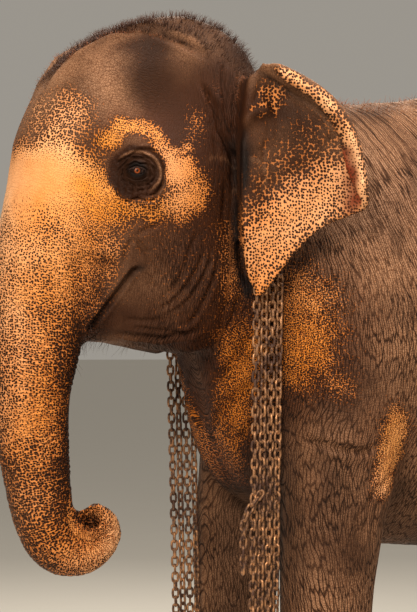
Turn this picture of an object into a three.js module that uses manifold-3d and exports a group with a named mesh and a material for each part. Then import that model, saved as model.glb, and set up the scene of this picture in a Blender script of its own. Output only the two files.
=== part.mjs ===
// A life-size Asian elephant that stands square on four feet, its trunk hanging with a curled
// tip and two long loops of steel chain laid over its neck. Millimetres, +Z up, the head
// towards -X, the animal's left side towards -Y.
import * as THREE from "three";
import { mergeVertices } from "three/addons/utils/BufferGeometryUtils.js";
import Module from "manifold-3d";

const wasm = await Module();
wasm.setup();

// ---- driving sizes --------------------------------------------------------------------------

const GAP = 0.3; // air between two nodes that touch
const WELD = 1e-3; // vertices closer than this are one
const WIDE = 1200; // half-width of the regions that part the body, more than the animal's own

const BELLY_CUT = 900; // height at which a leg leaves the torso
const FOOT_CUT = 170; // height at which a foot leaves its leg

const EYE = { at: [-598, 268, 2085], radius: 25, lid: 9, slit: 74, open: 42, forward: 6 };
const NOSTRIL = { radius: 11, apart: 15, depth: 70 };
const MOUTH = { gape: 9 };
const CHAIN = { radius: 10.5, pitch: 25, first: -240, lean: 150, strands: 4, clear: 9 };
const CHAIN_END = { left: { z: 480, drift: -20 }, right: { z: 520, drift: 32 } };
const CHAIN_TAIL = { top: 1140, bottom: 915, forward: 34 }; // the free end, hooked to the first strand

const HIDE = { color: "#6f5b50", roughness: 0.85, metalness: 0 };
const PALE_HIDE = { color: "#c08a66", roughness: 0.8, metalness: 0 };
const HORN = { color: "#b7a389", roughness: 0.6, metalness: 0 };
const EYEBALL = { color: "#3b2415", roughness: 0.15, metalness: 0 };
const BRISTLE = { color: "#2b211d", roughness: 0.7, metalness: 0 };
const RUSTY_STEEL = { color: "#6b4f39", roughness: 0.65, metalness: 0.8 };

// ---- closed surfaces ------------------------------------------------------------------------

/** A manifold solid from a closed geometry, with its faces pointing out. */
function solid(geometry) {
  const bare = geometry.clone();
  bare.deleteAttribute("normal");
  bare.deleteAttribute("uv");
  const welded = mergeVertices(bare, WELD);
  const points = Float32Array.from(welded.attributes.position.array);
  const faces = Uint32Array.from(welded.index.array);
  const made = new wasm.Manifold(new wasm.Mesh({ numProp: 3, vertProperties: points, triVerts: faces }));
  if (made.volume() > 0) return made;
  for (let i = 0; i < faces.length; i += 3) [faces[i], faces[i + 1]] = [faces[i + 1], faces[i]];
  return new wasm.Manifold(new wasm.Mesh({ numProp: 3, vertProperties: points, triVerts: faces }));
}

/** Moves every vertex of a geometry to place(u, v, old position), and gives the solid. */
function moulded(geometry, place) {
  const { position, uv } = geometry.attributes;
  const old = new THREE.Vector3();
  for (let i = 0; i < position.count; i++) {
    old.fromBufferAttribute(position, i);
    const moved = place(uv.getX(i), 1 - uv.getY(i), old);
    position.setXYZ(i, moved.x, moved.y, moved.z);
  }
  return solid(geometry);
}

/** Joins solids into one. */
function joined(...pieces) {
  return pieces.reduce((sum, piece) => sum.add(piece));
}

/** The largest closed surface of a solid. */
function largest(piece) {
  return piece.decompose().reduce((best, next) => (next.volume() > best.volume() ? next : best));
}

/** An ellipsoid, turned about the Y axis and then about Z. */
function ellipsoid(at, size, segments = 12, tilt = 0, turn = 0) {
  const geometry = new THREE.SphereGeometry(1, segments, Math.round(segments * 0.7));
  geometry.scale(...size).rotateY(tilt).rotateZ(turn).translate(...at);
  return solid(geometry);
}

/** A region across the whole width, from its outline of [x, z] points. */
function region(outline, half = WIDE, middle = 0) {
  const shape = new THREE.Shape(outline.map(([x, z]) => new THREE.Vector2(x, z)));
  const geometry = new THREE.ExtrudeGeometry(shape, { depth: 2 * half, bevelEnabled: false });
  geometry.rotateX(Math.PI / 2).translate(0, middle + half, 0);
  return solid(geometry);
}

/** An outline moved outwards by `by`. Its points run clockwise seen with x to the right and z up. */
function grownOutline(outline, by) {
  const count = outline.length;
  const edge = (i) => {
    const [a, b] = [outline[i % count], outline[(i + 1) % count]];
    const length = Math.hypot(b[0] - a[0], b[1] - a[1]);
    const out = [-(b[1] - a[1]) / length, (b[0] - a[0]) / length];
    return { out, far: out[0] * a[0] + out[1] * a[1] + by };
  };
  return outline.map((_, i) => {
    const [p, q] = [edge(i + count - 1), edge(i)];
    const cross = p.out[0] * q.out[1] - p.out[1] * q.out[0];
    return [(p.far * q.out[1] - q.far * p.out[1]) / cross, (p.out[0] * q.far - q.out[0] * p.far) / cross];
  });
}

/** A smooth run of values through the rows of a table, read at t from 0 to 1. */
function smoothRow(rows) {
  const last = rows.length - 1;
  return (t) => {
    const place = Math.min(Math.max(t, 0), 1) * last;
    const at = Math.min(Math.floor(place), last - 1);
    const f = place - at;
    const [a, b, c, d] = [at - 1, at, at + 1, at + 2].map((i) => rows[Math.min(Math.max(i, 0), last)]);
    const late = f * f * (3 - 2 * f);
    const leaving = f * (1 - f) ** 2;
    const coming = f * f * (f - 1);
    return b.map((value, k) => {
      const atStart = (c[k] - a[k]) / 2;
      const atEnd = (d[k] - value) / 2;
      return value + late * (c[k] - value) + leaving * atStart + coming * atEnd;
    });
  };
}

/**
 * A limb lofted through stations. Each row is [x, y, z, half-width along Y, half-depth], and the
 * depth runs square to the limb in the XZ plane, or along `depthAxis` where that is given. Its
 * two ends are flat.
 */
function limb(rows, { segments, rings, from = 0, to = 1, grow = 0, depthAxis = null }) {
  const at = smoothRow(rows);
  const step = 1e-3;
  return moulded(new THREE.SphereGeometry(1, segments, rings), (u, v) => {
    const ring = Math.round(v * rings);
    const along = Math.min(Math.max((ring - 1) / (rings - 2), 0), 1);
    const t = from + (to - from) * along;
    const [x, y, z, halfWidth, halfDepth] = at(t);
    const before = at(t - step);
    const after = at(t + step);
    const run = new THREE.Vector3(after[0] - before[0], 0, after[2] - before[2]).normalize();
    const depth = depthAxis ? depthAxis.clone() : new THREE.Vector3(run.z, 0, -run.x);
    const shut = ring === 0 || ring === rings ? 0 : 1;
    const angle = u * 2 * Math.PI;
    const side = Math.sin(angle) * (halfWidth + grow) * shut;
    const out = Math.cos(angle) * (halfDepth + grow) * shut;
    return new THREE.Vector3(x, y + side, z).addScaledVector(depth, out);
  });
}

// ---- a soft field, for the head -------------------------------------------------------------

/** Distance to an ellipsoid, near enough for a smooth skin. */
function ballField({ at, size }) {
  return (x, y, z) => {
    const p = [x - at[0], y - at[1], z - at[2]];
    const near = Math.hypot(p[0] / size[0], p[1] / size[1], p[2] / size[2]);
    const far = Math.hypot(p[0] / size[0] ** 2, p[1] / size[1] ** 2, p[2] / size[2] ** 2);
    return far > 0 ? (near * (near - 1)) / far : -Math.min(...size);
  };
}

/** Distance to a rod with a ball of its own radius at each end. */
function rodField({ from, to, radii }) {
  const way = to.map((value, i) => value - from[i]);
  const square = way.reduce((sum, value) => sum + value * value, 0);
  return (x, y, z) => {
    const p = [x - from[0], y - from[1], z - from[2]];
    const dot = p.reduce((sum, value, i) => sum + value * way[i], 0);
    const t = Math.min(Math.max(dot / square, 0), 1);
    const off = p.map((value, i) => value - way[i] * t);
    return Math.hypot(...off) - (radii[0] + (radii[1] - radii[0]) * t);
  };
}

/** The smaller of two distances, rounded where they are within `soft` of each other. */
function softMin(a, b, soft) {
  const h = Math.max(soft - Math.abs(a - b), 0) / soft;
  return Math.min(a, b) - (h * h * soft) / 4;
}

const SKULL_SOFT = 90;
const DENT_SOFT = 60;

// Every form stands on both sides of the midline, so y is its distance from there.
const SKULL_FORMS = [
  ballField({ at: [-395, 88, 2390], size: [225, 150, 180] }), // dome of the crown
  ballField({ at: [-612, 80, 2325], size: [152, 125, 145] }), // forehead
  ballField({ at: [-610, 0, 2190], size: [215, 185, 230] }), // face between the eyes
  ballField({ at: [-500, 0, 2060], size: [260, 215, 300] }), // skull
  ballField({ at: [-590, 205, 2150], size: [95, 60, 75] }), // brow
  ballField({ at: [-440, 190, 2060], size: [170, 100, 120] }), // cheekbone
  ballField({ at: [-385, 150, 1860], size: [165, 120, 220] }), // jaw muscle
  ballField({ at: [-310, 140, 2240], size: [190, 130, 220] }), // temple muscle
  rodField({ from: [-690, 0, 2110], to: [-766, 0, 1870], radii: [180, 158] }), // root of the trunk
  rodField({ from: [-590, 120, 1980], to: [-610, 95, 1800], radii: [115, 88] }), // side of the mouth
  rodField({ from: [-625, 80, 1830], to: [-688, 45, 1700], radii: [74, 52] }), // upper lip
  rodField({ from: [-370, 95, 1674], to: [-590, 50, 1668], radii: [128, 78] }), // lower jaw
  ballField({ at: [-660, 0, 1672], size: [60, 74, 46] }), // lower lip
];
const SKULL_DENTS = [
  ballField({ at: [-505, 330, 2310], size: [120, 90, 100] }), // hollow of the temple
  ballField({ at: [-700, 275, 2060], size: [70, 90, 160] }), // hollow before the eye
  ballField({ at: [-600, 330, 2085], size: [62, 66, 46] }), // socket of the eye
];

function skullField(x, y, z) {
  const side = Math.abs(y);
  const full = SKULL_FORMS.reduce((sum, form) => softMin(sum, form(x, side, z), SKULL_SOFT), 1e4);
  return SKULL_DENTS.reduce((sum, dent) => -softMin(-sum, dent(x, side, z), DENT_SOFT), full);
}

const SKULL_CENTRE = new THREE.Vector3(-520, 0, 2050);
const SKULL_REACH = 900; // further from its centre than the head goes

/** How far along a ray a field is still below `limit`, searched between two distances. */
function reachInside(field, start, way, limit, [near, far]) {
  let [inside, outside] = [near, far];
  for (let turn = 0; turn < 24; turn++) {
    const middle = (inside + outside) / 2;
    const p = start.clone().addScaledVector(way, middle);
    if (field(p, middle) < limit) inside = middle;
    else outside = middle;
  }
  return inside;
}

/** The head's skin, found along rays from inside it. */
function skull(grow = 0) {
  const field = (p) => skullField(p.x, p.y, p.z);
  return moulded(new THREE.SphereGeometry(1, 34, 22), (_u, _v, ray) => {
    const way = ray.clone().normalize();
    const reach = reachInside(field, SKULL_CENTRE, way, grow, [0, SKULL_REACH]);
    return SKULL_CENTRE.clone().addScaledVector(way, reach);
  });
}

// ---- neck and torso -------------------------------------------------------------------------

// x, height of the back, height of the belly, half-width, and how far up the widest place is
const BODY_ROWS = [
  [-400, 2330, 1760, 150, 0.5],
  [-330, 2400, 1640, 230, 0.5],
  [-262, 2405, 1420, 266, 0.5],
  [-190, 2390, 1240, 286, 0.5],
  [-90, 2362, 1110, 316, 0.5],
  [40, 2342, 1020, 372, 0.48],
  [220, 2326, 962, 456, 0.46],
  [450, 2346, 935, 555, 0.44],
  [720, 2402, 925, 612, 0.42],
  [980, 2440, 940, 622, 0.42],
  [1220, 2425, 985, 585, 0.44],
  [1430, 2345, 1060, 520, 0.47],
  [1600, 2230, 1180, 430, 0.5],
  [1740, 2090, 1330, 325, 0.52],
  [1830, 1960, 1480, 220, 0.54],
  [1872, 1850, 1600, 110, 0.55],
];

// x, angle from the back, how far each way, and how high: where bones and hollows show under the hide
const BODY_SWELLS = [
  [110, 1.3, 210, 0.5, 20], // shoulder blade
  [-40, 1.2, 90, 0.5, -14], // hollow before the shoulder
  [1490, 0.66, 105, 0.26, 34], // hip bone
  [1265, 1.0, 120, 0.34, -26], // hollow of the flank
  [700, 0, 800, 0.16, 16], // backbone
  [760, 1.75, 420, 0.5, 14], // ribs
];

/** How far the hide stands out at x and at an angle from the back. */
function bodySwell(x, angle) {
  const off = Math.abs(Math.atan2(Math.sin(angle), Math.cos(angle)));
  return BODY_SWELLS.reduce((sum, [atX, atAngle, longX, longAngle, high]) => {
    return sum + high * Math.exp(-(((x - atX) / longX) ** 2) - ((off - atAngle) / longAngle) ** 2);
  }, 0);
}

// The masses of muscle on each side, and the breast
const BODY_MASSES = [
  ballField({ at: [95, 255, 1570], size: [205, 185, 400] }), // shoulder and upper arm
  ballField({ at: [1385, 240, 1500], size: [275, 240, 430] }), // haunch
  ballField({ at: [-75, 110, 1360], size: [180, 160, 250] }), // breast
];
const BODY_SOFT = 130;

const BACKBONE = 0.14; // how much narrower the back is than a round one
const BELLY = 0.06; // how much flatter the belly is

/** The back, the barrel and the neck in one surface, from inside the head to the rump. */
function barrel(grow = 0) {
  const at = smoothRow(BODY_ROWS);
  const [segments, rings] = [20, 24];
  return moulded(new THREE.SphereGeometry(1, segments, rings), (u, v) => {
    const ring = Math.round(v * rings);
    const [x, top, bottom, half, middle] = at((ring - 1) / (rings - 2));
    const centre = bottom + (top - bottom) * middle;
    const place = new THREE.Vector3(x + (ring >= rings - 1 ? grow : 0), 0, centre);
    if (ring === 0 || ring === rings) return place;
    const angle = u * 2 * Math.PI;
    const [up, side] = [Math.cos(angle), Math.sin(angle)];
    const height = up > 0 ? top - centre : centre - bottom;
    const ridge = up > 0 ? 1 - BACKBONE * up ** 3 : 1 + BELLY * (1 - Math.abs(side));
    const edge = new THREE.Vector3(0, side * half * ridge, up * height);
    const oval = edge.length();
    const field = (p, reach) => {
      const masses = BODY_MASSES.map((mass) => mass(x, Math.abs(p.y), p.z));
      return masses.reduce((sum, mass) => softMin(sum, mass, BODY_SOFT), reach - oval);
    };
    const way = edge.normalize();
    const reach = reachInside(field, place, way, 0, [oval, 2 * oval]);
    return place.addScaledVector(way, reach + grow + bodySwell(x, angle));
  });
}

// ---- legs -----------------------------------------------------------------------------------

const UPRIGHT_DEPTH = new THREE.Vector3(1, 0, 0);

// x, y, z, half-width, half-depth, from the shoulder or hip to the sole. y counts outwards.
const FORELEG_ROWS = [
  [95, 215, 1960, 95, 90],
  [85, 248, 1800, 158, 170],
  [80, 278, 1600, 188, 192],
  [66, 300, 1400, 186, 188],
  [40, 320, 1200, 172, 174],
  [6, 338, 1000, 152, 156],
  [-12, 348, 800, 139, 142],
  [-12, 352, 600, 132, 136],
  [-12, 355, 420, 129, 133],
  [-13, 358, 260, 142, 146],
  [-18, 362, 130, 172, 174],
  [-20, 364, 50, 188, 192],
  [-20, 364, 14, 186, 190],
  [-20, 364, 0, 176, 180],
];
const HINDLEG_ROWS = [
  [1440, 210, 1960, 90, 120],
  [1420, 250, 1800, 180, 260],
  [1400, 285, 1560, 235, 320],
  [1380, 300, 1340, 235, 300],
  [1365, 306, 1140, 215, 255],
  [1360, 306, 960, 185, 212],
  [1375, 304, 780, 158, 176],
  [1400, 302, 600, 136, 150],
  [1415, 300, 430, 122, 138],
  [1412, 300, 270, 128, 142],
  [1398, 300, 130, 156, 172],
  [1388, 300, 50, 168, 188],
  [1388, 300, 14, 166, 186],
  [1388, 300, 0, 156, 176],
];

/** One whole leg, from inside the body to its flat sole. */
function leg(rows, side, stride = 0) {
  const placed = rows.map(([x, y, z, halfWidth, halfDepth]) => {
    const swing = stride * (1 - z / rows[0][2]);
    return [x + swing, side * y, z, halfWidth, halfDepth];
  });
  return limb(placed, { segments: 16, rings: 18, depthAxis: UPRIGHT_DEPTH });
}

// A nail's middle stands this high; its half-sizes are out of the foot, along it and upwards
const NAIL = { high: 54, size: [15, 47, 42], smaller: 0.13, fan: { 4: 40, 5: 38 }, turned: 0.1 };

/** The nails along the front of one foot, each a rounded plate let into it. */
function nails(rows, side, stride, count) {
  const [x, y, , halfWidth, halfDepth] = rows[rows.length - 3];
  const fan = THREE.MathUtils.degToRad(NAIL.fan[count]);
  const [thick, wide, tall] = NAIL.size;
  return Array.from({ length: count }, (_, i) => {
    const place = i - (count - 1) / 2;
    const turn = place * fan + side * NAIL.turned;
    const size = 1 - NAIL.smaller * Math.abs(place);
    const front = x + stride - halfDepth * Math.cos(turn);
    const at = [front, side * y + halfWidth * Math.sin(turn), NAIL.high];
    return { at, size: [thick, wide * size, tall * size], turn: -turn };
  });
}

// ---- trunk ----------------------------------------------------------------------------------

// x, y, z, half-width, half-depth, from the face to the tip
const TRUNK_ROWS = [
  [-708, 0, 2060, 172, 160],
  [-755, 0, 1945, 166, 152],
  [-778, 0, 1830, 152, 148],
  [-790, 0, 1710, 138, 144],
  [-806, 0, 1580, 127, 135],
  [-822, 0, 1450, 118, 120],
  [-816, 0, 1320, 109, 109],
  [-801, 0, 1200, 100, 101],
  [-784, 0, 1095, 92, 93],
  [-754, 0, 1004, 85, 79],
  [-690, 0, 966, 79, 68],
  [-630, -4, 984, 74, 62],
  [-598, -14, 1032, 70, 56],
  [-622, -32, 1072, 62, 48],
  [-656, -46, 1088, 46, 38],
];
const TIP_CUP = { at: [-664, -72, 1082], way: [-0.42, -0.76, 0.5], radius: 38, depth: 62 };
const TRUNK_CUTS = [0.125, 0.31, 0.47, 0.61, 1]; // where its lengths begin and end, along the table
const TRUNK_GAP = 5e-4; // air between two lengths, along the table
const TRUNK_NAMES = ["trunk_root", "trunk_upper", "trunk_lower", "trunk_tip"];

function trunkLength(from, to, rings, grow = 0) {
  return limb(TRUNK_ROWS, { segments: 16, rings, from, to, grow });
}

/** The middle of the trunk at t, and the way its depth runs there. */
function trunkFrame(t) {
  const at = smoothRow(TRUNK_ROWS);
  const [before, after] = [at(t - 1e-3), at(t + 1e-3)];
  const run = new THREE.Vector3(after[0] - before[0], 0, after[2] - before[2]).normalize();
  const depth = new THREE.Vector3(run.z, 0, -run.x);
  return { x: at(t)[0], z: at(t)[2], halfDepth: at(t)[4], depth };
}

/** The cup of the trunk's end and the two nostrils in it, as plugs to cut from the tip. */
function nostrils() {
  const way = new THREE.Vector3(...TIP_CUP.way).normalize();
  const middle = new THREE.Vector3(...TIP_CUP.at);
  const across = new THREE.Vector3().crossVectors(way, new THREE.Vector3(0, 0, 1)).normalize();
  const turn = new THREE.Quaternion().setFromUnitVectors(new THREE.Vector3(0, 1, 0), way);
  const cup = new THREE.SphereGeometry(1, 12, 8).scale(TIP_CUP.radius, TIP_CUP.depth, TIP_CUP.radius);
  cup.applyQuaternion(turn).translate(...middle);
  const bed = middle.clone().addScaledVector(way, -TIP_CUP.depth);
  const plugs = [-1, 1].map((side) => {
    const at = bed.clone().addScaledVector(across, side * NOSTRIL.apart);
    const plug = new THREE.CapsuleGeometry(NOSTRIL.radius, NOSTRIL.depth, 2, 8);
    plug.applyQuaternion(turn).translate(...at);
    return solid(plug);
  });
  return joined(solid(cup), ...plugs);
}

const FINGER = { at: [-606, -66, 1062], size: [26, 26, 24] }; // on the upper lip of the tip

// ---- ears -----------------------------------------------------------------------------------

// How far back the ear's edge is from its root line, and its height, from the top of the root to the lobe
const EAR_ROOT = [[2, 2365], [-14, 2290], [-22, 2170], [-22, 2040], [-18, 1920], [-10, 1830], [4, 1770]];
const EAR_EDGE = [
  [30, 2398], [96, 2384], [172, 2350], [250, 2290], [306, 2200], [328, 2088],
  [337, 1985], [262, 1956], [188, 1922], [138, 1868], [85, 1806], [46, 1750], [14, 1727],
];
const EAR = { at: [-280, -362], back: [0.894, -0.447], thick: 15, thinner: 0.45, cup: 34, deep: 110 };
const EAR_ROLL = { radius: 15, past: 27, starts: [0.02, 0.12], ends: [0.46, 0.54] };
const EAR_MESH = { across: 14, down: 16, root: 3, roll: 10 }; // columns to the root and to the roll
const LOBE = { starts: 0.62, free: 0.8, depth: 0.15 }; // where the lobe leaves the head

/** Where the middle of the ear's sheet is, at u out from the head and v down. */
function earMiddle(side, root, edge, u, v) {
  const { smoothstep } = THREE.MathUtils;
  const { radius } = EAR_ROLL;
  const [rootBack, rootHigh] = root(v);
  const [edgeBack, edgeHigh] = edge(v);
  const spoke = new THREE.Vector2(edgeBack - rootBack, edgeHigh - rootHigh);
  const length = spoke.length();
  const way = spoke.normalize();
  const rolled = smoothstep(v, ...EAR_ROLL.starts) * (1 - smoothstep(v, ...EAR_ROLL.ends));
  const flat = length - rolled * radius; // the run from the root to where the roll begins
  const whole = length + rolled * (Math.PI * radius + EAR_ROLL.past);
  const deep = EAR.deep * (1 - (1 - LOBE.depth) * smoothstep(v, LOBE.starts, LOBE.free));
  const [rootEnd, rollStart] = [EAR_MESH.root / EAR_MESH.across, EAR_MESH.roll / EAR_MESH.across];
  let run = flat + ((u - rollStart) / (1 - rollStart)) * (whole - flat);
  if (u < rollStart) run = ((u - rootEnd) / (rollStart - rootEnd)) * flat;
  if (u < rootEnd) run = (u / rootEnd - 1) * deep;
  let along = Math.max(Math.min(run, length), 0);
  let lift = 0;
  if (rolled > 0) {
    const bent = Math.max(run - flat, 0);
    const turn = Math.min(bent / radius, Math.PI);
    const beyond = Math.max(bent - Math.PI * radius, 0);
    along = Math.max(Math.min(run, flat) + radius * Math.sin(turn) - beyond, 0);
    lift = radius * (1 - Math.cos(turn));
  }
  const reach = Math.min(Math.max(run / length, 0), 1);
  const hollow = 0.5 + 0.5 * Math.cos(2.4 * (v - 0.3)); // deepest a third of the way down
  const cup = EAR.cup * Math.sin(Math.PI * reach) * hollow;
  const back = new THREE.Vector3(EAR.back[0], side * -EAR.back[1], 0);
  const front = new THREE.Vector3(EAR.back[1], side * EAR.back[0], 0);
  return new THREE.Vector3(EAR.at[0], side * -EAR.at[1], rootHigh + way.y * along)
    .addScaledVector(back, rootBack + way.x * along)
    .addScaledVector(front, lift - cup + Math.min(run, 0));
}

/** One ear: a thin sheet cupped behind the cheek, its upper edge rolled over to the front. */
function ear(side) {
  const root = smoothRow(EAR_ROOT);
  const edge = smoothRow(EAR_EDGE);
  const near = 0.02; // how far away the sheet's slope is read
  const middle = (u, v) => {
    const inside = THREE.MathUtils.clamp;
    return earMiddle(side, root, edge, inside(u, 0, 1), inside(v, 0, 1));
  };
  const sheet = new THREE.BoxGeometry(1, 1, 1, EAR_MESH.across, EAR_MESH.down, 1);
  const { position } = sheet.attributes;
  for (let i = 0; i < position.count; i++) {
    const [u, v] = [position.getX(i) + 0.5, 0.5 - position.getY(i)];
    const here = middle(u, v);
    const alongU = middle(u + near, v).sub(middle(u - near, v));
    const alongV = middle(u, v + near).sub(middle(u, v - near));
    const normal = alongU.cross(alongV).normalize();
    const thick = EAR.thick * (1 - EAR.thinner * u);
    here.addScaledVector(normal, position.getZ(i) * thick);
    position.setXYZ(i, here.x, here.y, here.z);
  }
  return solid(sheet);
}

// ---- tail -----------------------------------------------------------------------------------

const TAIL_ROWS = [
  [1780, 0, 1985, 60, 60],
  [1872, 0, 1930, 52, 50],
  [1935, 0, 1800, 42, 38],
  [1962, 0, 1600, 33, 30],
  [1972, 0, 1350, 27, 24],
  [1978, 0, 1100, 23, 19],
  [1982, 0, 900, 24, 16],
  [1984, 0, 760, 20, 11],
];
const TUFT_START = 0.87; // where the bristles begin, along the table
const TUFT = { locks: 7, from: 0.885, to: 0.99, width: 20, length: 190, longer: 45, lean: 0.2 };
const LOCK = { tip: 0.12, flat: 0.44 }; // a lock's end and its thickness, against its width

/** One flat lock of bristle that tapers to its tip and leans more towards it. */
function lock(at, length, width, lean, turn) {
  const geometry = new THREE.CylinderGeometry(1, LOCK.tip, 1, 4, 3);
  geometry.translate(0, -0.5, 0);
  const { position } = geometry.attributes;
  const half = width / 2;
  for (let i = 0; i < position.count; i++) {
    const t = -position.getY(i);
    const x = position.getX(i) * half + lean * length * t * t;
    position.setXYZ(i, x, position.getZ(i) * half * LOCK.flat, -t * length);
  }
  geometry.rotateZ(turn).translate(...at);
  return solid(geometry);
}

/** The bristles of the tail, in a row along its front and its back edge, and its core. */
function tuft() {
  const at = smoothRow(TAIL_ROWS);
  const pieces = [limb(TAIL_ROWS, { segments: 10, rings: 6, from: TUFT_START, to: 1 })];
  for (let i = 0; i < TUFT.locks; i++) {
    const down = i / (TUFT.locks - 1);
    const [x, y, z] = at(TUFT.from + (TUFT.to - TUFT.from) * down);
    const length = TUFT.length + TUFT.longer * Math.sin(i * 2.1);
    const lean = TUFT.lean * (1 - 0.4 * down);
    for (const side of [-1, 1]) {
      const root = [x + side * 3, y + 4 * Math.sin(i * 1.7), z];
      pieces.push(lock(root, length, TUFT.width, side * lean, 0.3 * Math.sin(i * 2.7)));
    }
  }
  return largest(joined(...pieces));
}

// ---- chains ---------------------------------------------------------------------------------

/** A round bar along a run of points. */
function bar(points, steps) {
  const sides = 6;
  const ring = Array.from({ length: sides }, (_, i) => {
    const angle = (i * 2 * Math.PI) / sides;
    return new THREE.Vector2(Math.cos(angle), Math.sin(angle)).multiplyScalar(CHAIN.radius);
  });
  const extrudePath = new THREE.CatmullRomCurve3(points, false, "centripetal");
  const options = { steps, extrudePath, bevelEnabled: false };
  return solid(new THREE.ExtrudeGeometry(new THREE.Shape(ring), options));
}

const NECK_SIDE_HEIGHT = 1800; // where a strand leaves the side of the neck
const NECK_MIDDLE = 2000; // height of the neck's middle
const THROAT_HEIGHT = 1500; // below this the strands hang free

/** Where strand number i hangs. */
const strandX = (i) => CHAIN.first + i * CHAIN.pitch;

/** How far a surface reaches from `start` towards `way`. */
function reachOf(surface, start, way) {
  const hits = new THREE.Raycaster(start, way).intersectObject(surface);
  return hits.length ? hits[hits.length - 1].distance : 0;
}

/** How far out all the strands hang, clear of the neck and the throat. */
function hangOut(surface) {
  const sideways = new THREE.Vector3(0, -1, 0);
  let widest = 0;
  for (let i = 0; i < CHAIN.strands; i++) {
    for (let z = THROAT_HEIGHT; z <= NECK_SIDE_HEIGHT; z += 50) {
      const start = new THREE.Vector3(strandX(i), 0, z);
      widest = Math.max(widest, reachOf(surface, start, sideways));
    }
  }
  return widest + CHAIN.radius + CHAIN.clear;
}

/** Two hanging strands and the turn that joins them, on one side of the neck. */
function hangingPair(first, side, { z: end, drift }, out) {
  const places = [strandX(first), strandX(first + 1)];
  const hang = side * out;
  const top = NECK_SIDE_HEIGHT - GAP;
  const strands = places.map((x) => {
    const low = new THREE.Vector3(x + drift, hang, end);
    const high = [top - 60, top].map((z) => new THREE.Vector3(x, hang, z));
    return bar([low, ...high], 4);
  });
  const middle = drift + (places[0] + places[1]) / 2;
  const radius = CHAIN.pitch / 2;
  const slack = 1.6; // how much longer than round the turn hangs
  const turn = Array.from({ length: 7 }, (_, k) => {
    const angle = Math.PI * (1 + k / 6);
    const z = end + 1 + radius * slack * Math.sin(angle);
    return new THREE.Vector3(middle + radius * Math.cos(angle), hang, z);
  });
  return joined(...strands, bar(turn, 6));
}

/** The free end of the chain, from where it is hooked to the first strand on the left. */
function freeEnd(out) {
  const { top, bottom, forward } = CHAIN_TAIL;
  const x = strandX(0) + CHAIN_END.left.drift / 2;
  const points = [[0, top], [forward * 0.6, top - 40], [forward, top - 75], [forward, bottom]];
  return bar(points.map(([ahead, z]) => new THREE.Vector3(x - ahead, -out, z)), 7);
}

/** One strand over the neck, laid on the skin from side to side. It leans back off the head. */
function strandOver(i, surface, out) {
  const lift = CHAIN.radius + CHAIN.clear;
  const [knots, spread] = [15, 0.9]; // points along it, and how much of a half turn they span
  const points = Array.from({ length: knots }, (_, k) => {
    const angle = Math.PI * spread * (k / (knots - 1) - 0.5);
    const x = strandX(i) + CHAIN.lean * Math.cos(angle);
    const way = new THREE.Vector3(0, Math.sin(angle), Math.cos(angle));
    const start = new THREE.Vector3(x, 0, NECK_MIDDLE);
    return start.clone().addScaledVector(way, reachOf(surface, start, way) + lift);
  });
  const down = (side) => {
    return [0, 40].map((rise) => new THREE.Vector3(strandX(i), side * out, NECK_SIDE_HEIGHT + rise));
  };
  return bar([...down(-1), ...points, ...down(1).reverse()], 20);
}

// ---- the whole animal -----------------------------------------------------------------------

const elephant = new THREE.Group();

/** A mesh of a solid. */
function meshOf(piece, look) {
  const { vertProperties, triVerts } = piece.getMesh();
  const geometry = new THREE.BufferGeometry();
  geometry.setAttribute("position", new THREE.BufferAttribute(vertProperties, 3));
  geometry.setIndex(new THREE.BufferAttribute(triVerts, 1));
  geometry.computeVertexNormals();
  return new THREE.Mesh(geometry, new THREE.MeshStandardMaterial(look));
}

/** Adds one named node to the animal. */
function node(name, piece, look) {
  const mesh = meshOf(piece, look);
  mesh.name = name;
  elephant.add(mesh);
}

const SIDES = [["left", -1], ["right", 1]];
const STRIDES = { fore_left: -28, fore_right: 44, hind_left: 60, hind_right: -60 };

// The lines where head, neck and torso meet, each from above the body to below it
const HEAD_NECK = [[-120, 2700], [-272, 1350]];
const NECK_TORSO = [[150, 2700], [-258, 1350]];
const shifted = (line, by) => line.map(([x, z]) => [x + by, z]);
const headRegion = region([[-1400, 2700], [-1400, 1350], ...shifted(HEAD_NECK, -GAP).reverse()]);
const neckRegion = region([...HEAD_NECK, ...shifted(NECK_TORSO, -GAP).reverse()]);
const torsoRegion = region([
  ...NECK_TORSO, [-600, 1350], [-600, BELLY_CUT], [2400, BELLY_CUT], [2400, 2700],
]);

const legs = {};
for (const [name, side] of SIDES) {
  legs[`fore_${name}`] = leg(FORELEG_ROWS, side, STRIDES[`fore_${name}`]);
  legs[`hind_${name}`] = leg(HINDLEG_ROWS, side, STRIDES[`hind_${name}`]);
}
const trunkAll = trunkLength(TRUNK_CUTS[0] - 1e-3, 1, 40, 2);
const whole = joined(skull(), barrel(), ...Object.values(legs));

// The trunk's first length starts on a slanting plane under the eyes.
const seam = trunkFrame(TRUNK_CUTS[0] - 3e-4);
const onSeam = (out) => [seam.x + seam.depth.x * out, seam.z + seam.depth.z * out];
const trunkRoot = region([onSeam(600), onSeam(-seam.halfDepth - 4), [-668, 1500], [-1300, 1500]]);
const jawOutline = [[-760, 1600], [-706, 1668], [-576, 1815], [-430, 1470], [-760, 1471]];
const jawRegion = region(jawOutline);
const jawHole = region(grownOutline(jawOutline, GAP));

const jawSlit = [[-760, 1606], [-700, 1676 + MOUTH.gape], [-576, 1815 + GAP], [-690, 1655], [-760, 1585]];
const mouthSlit = region(jawSlit);

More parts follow.
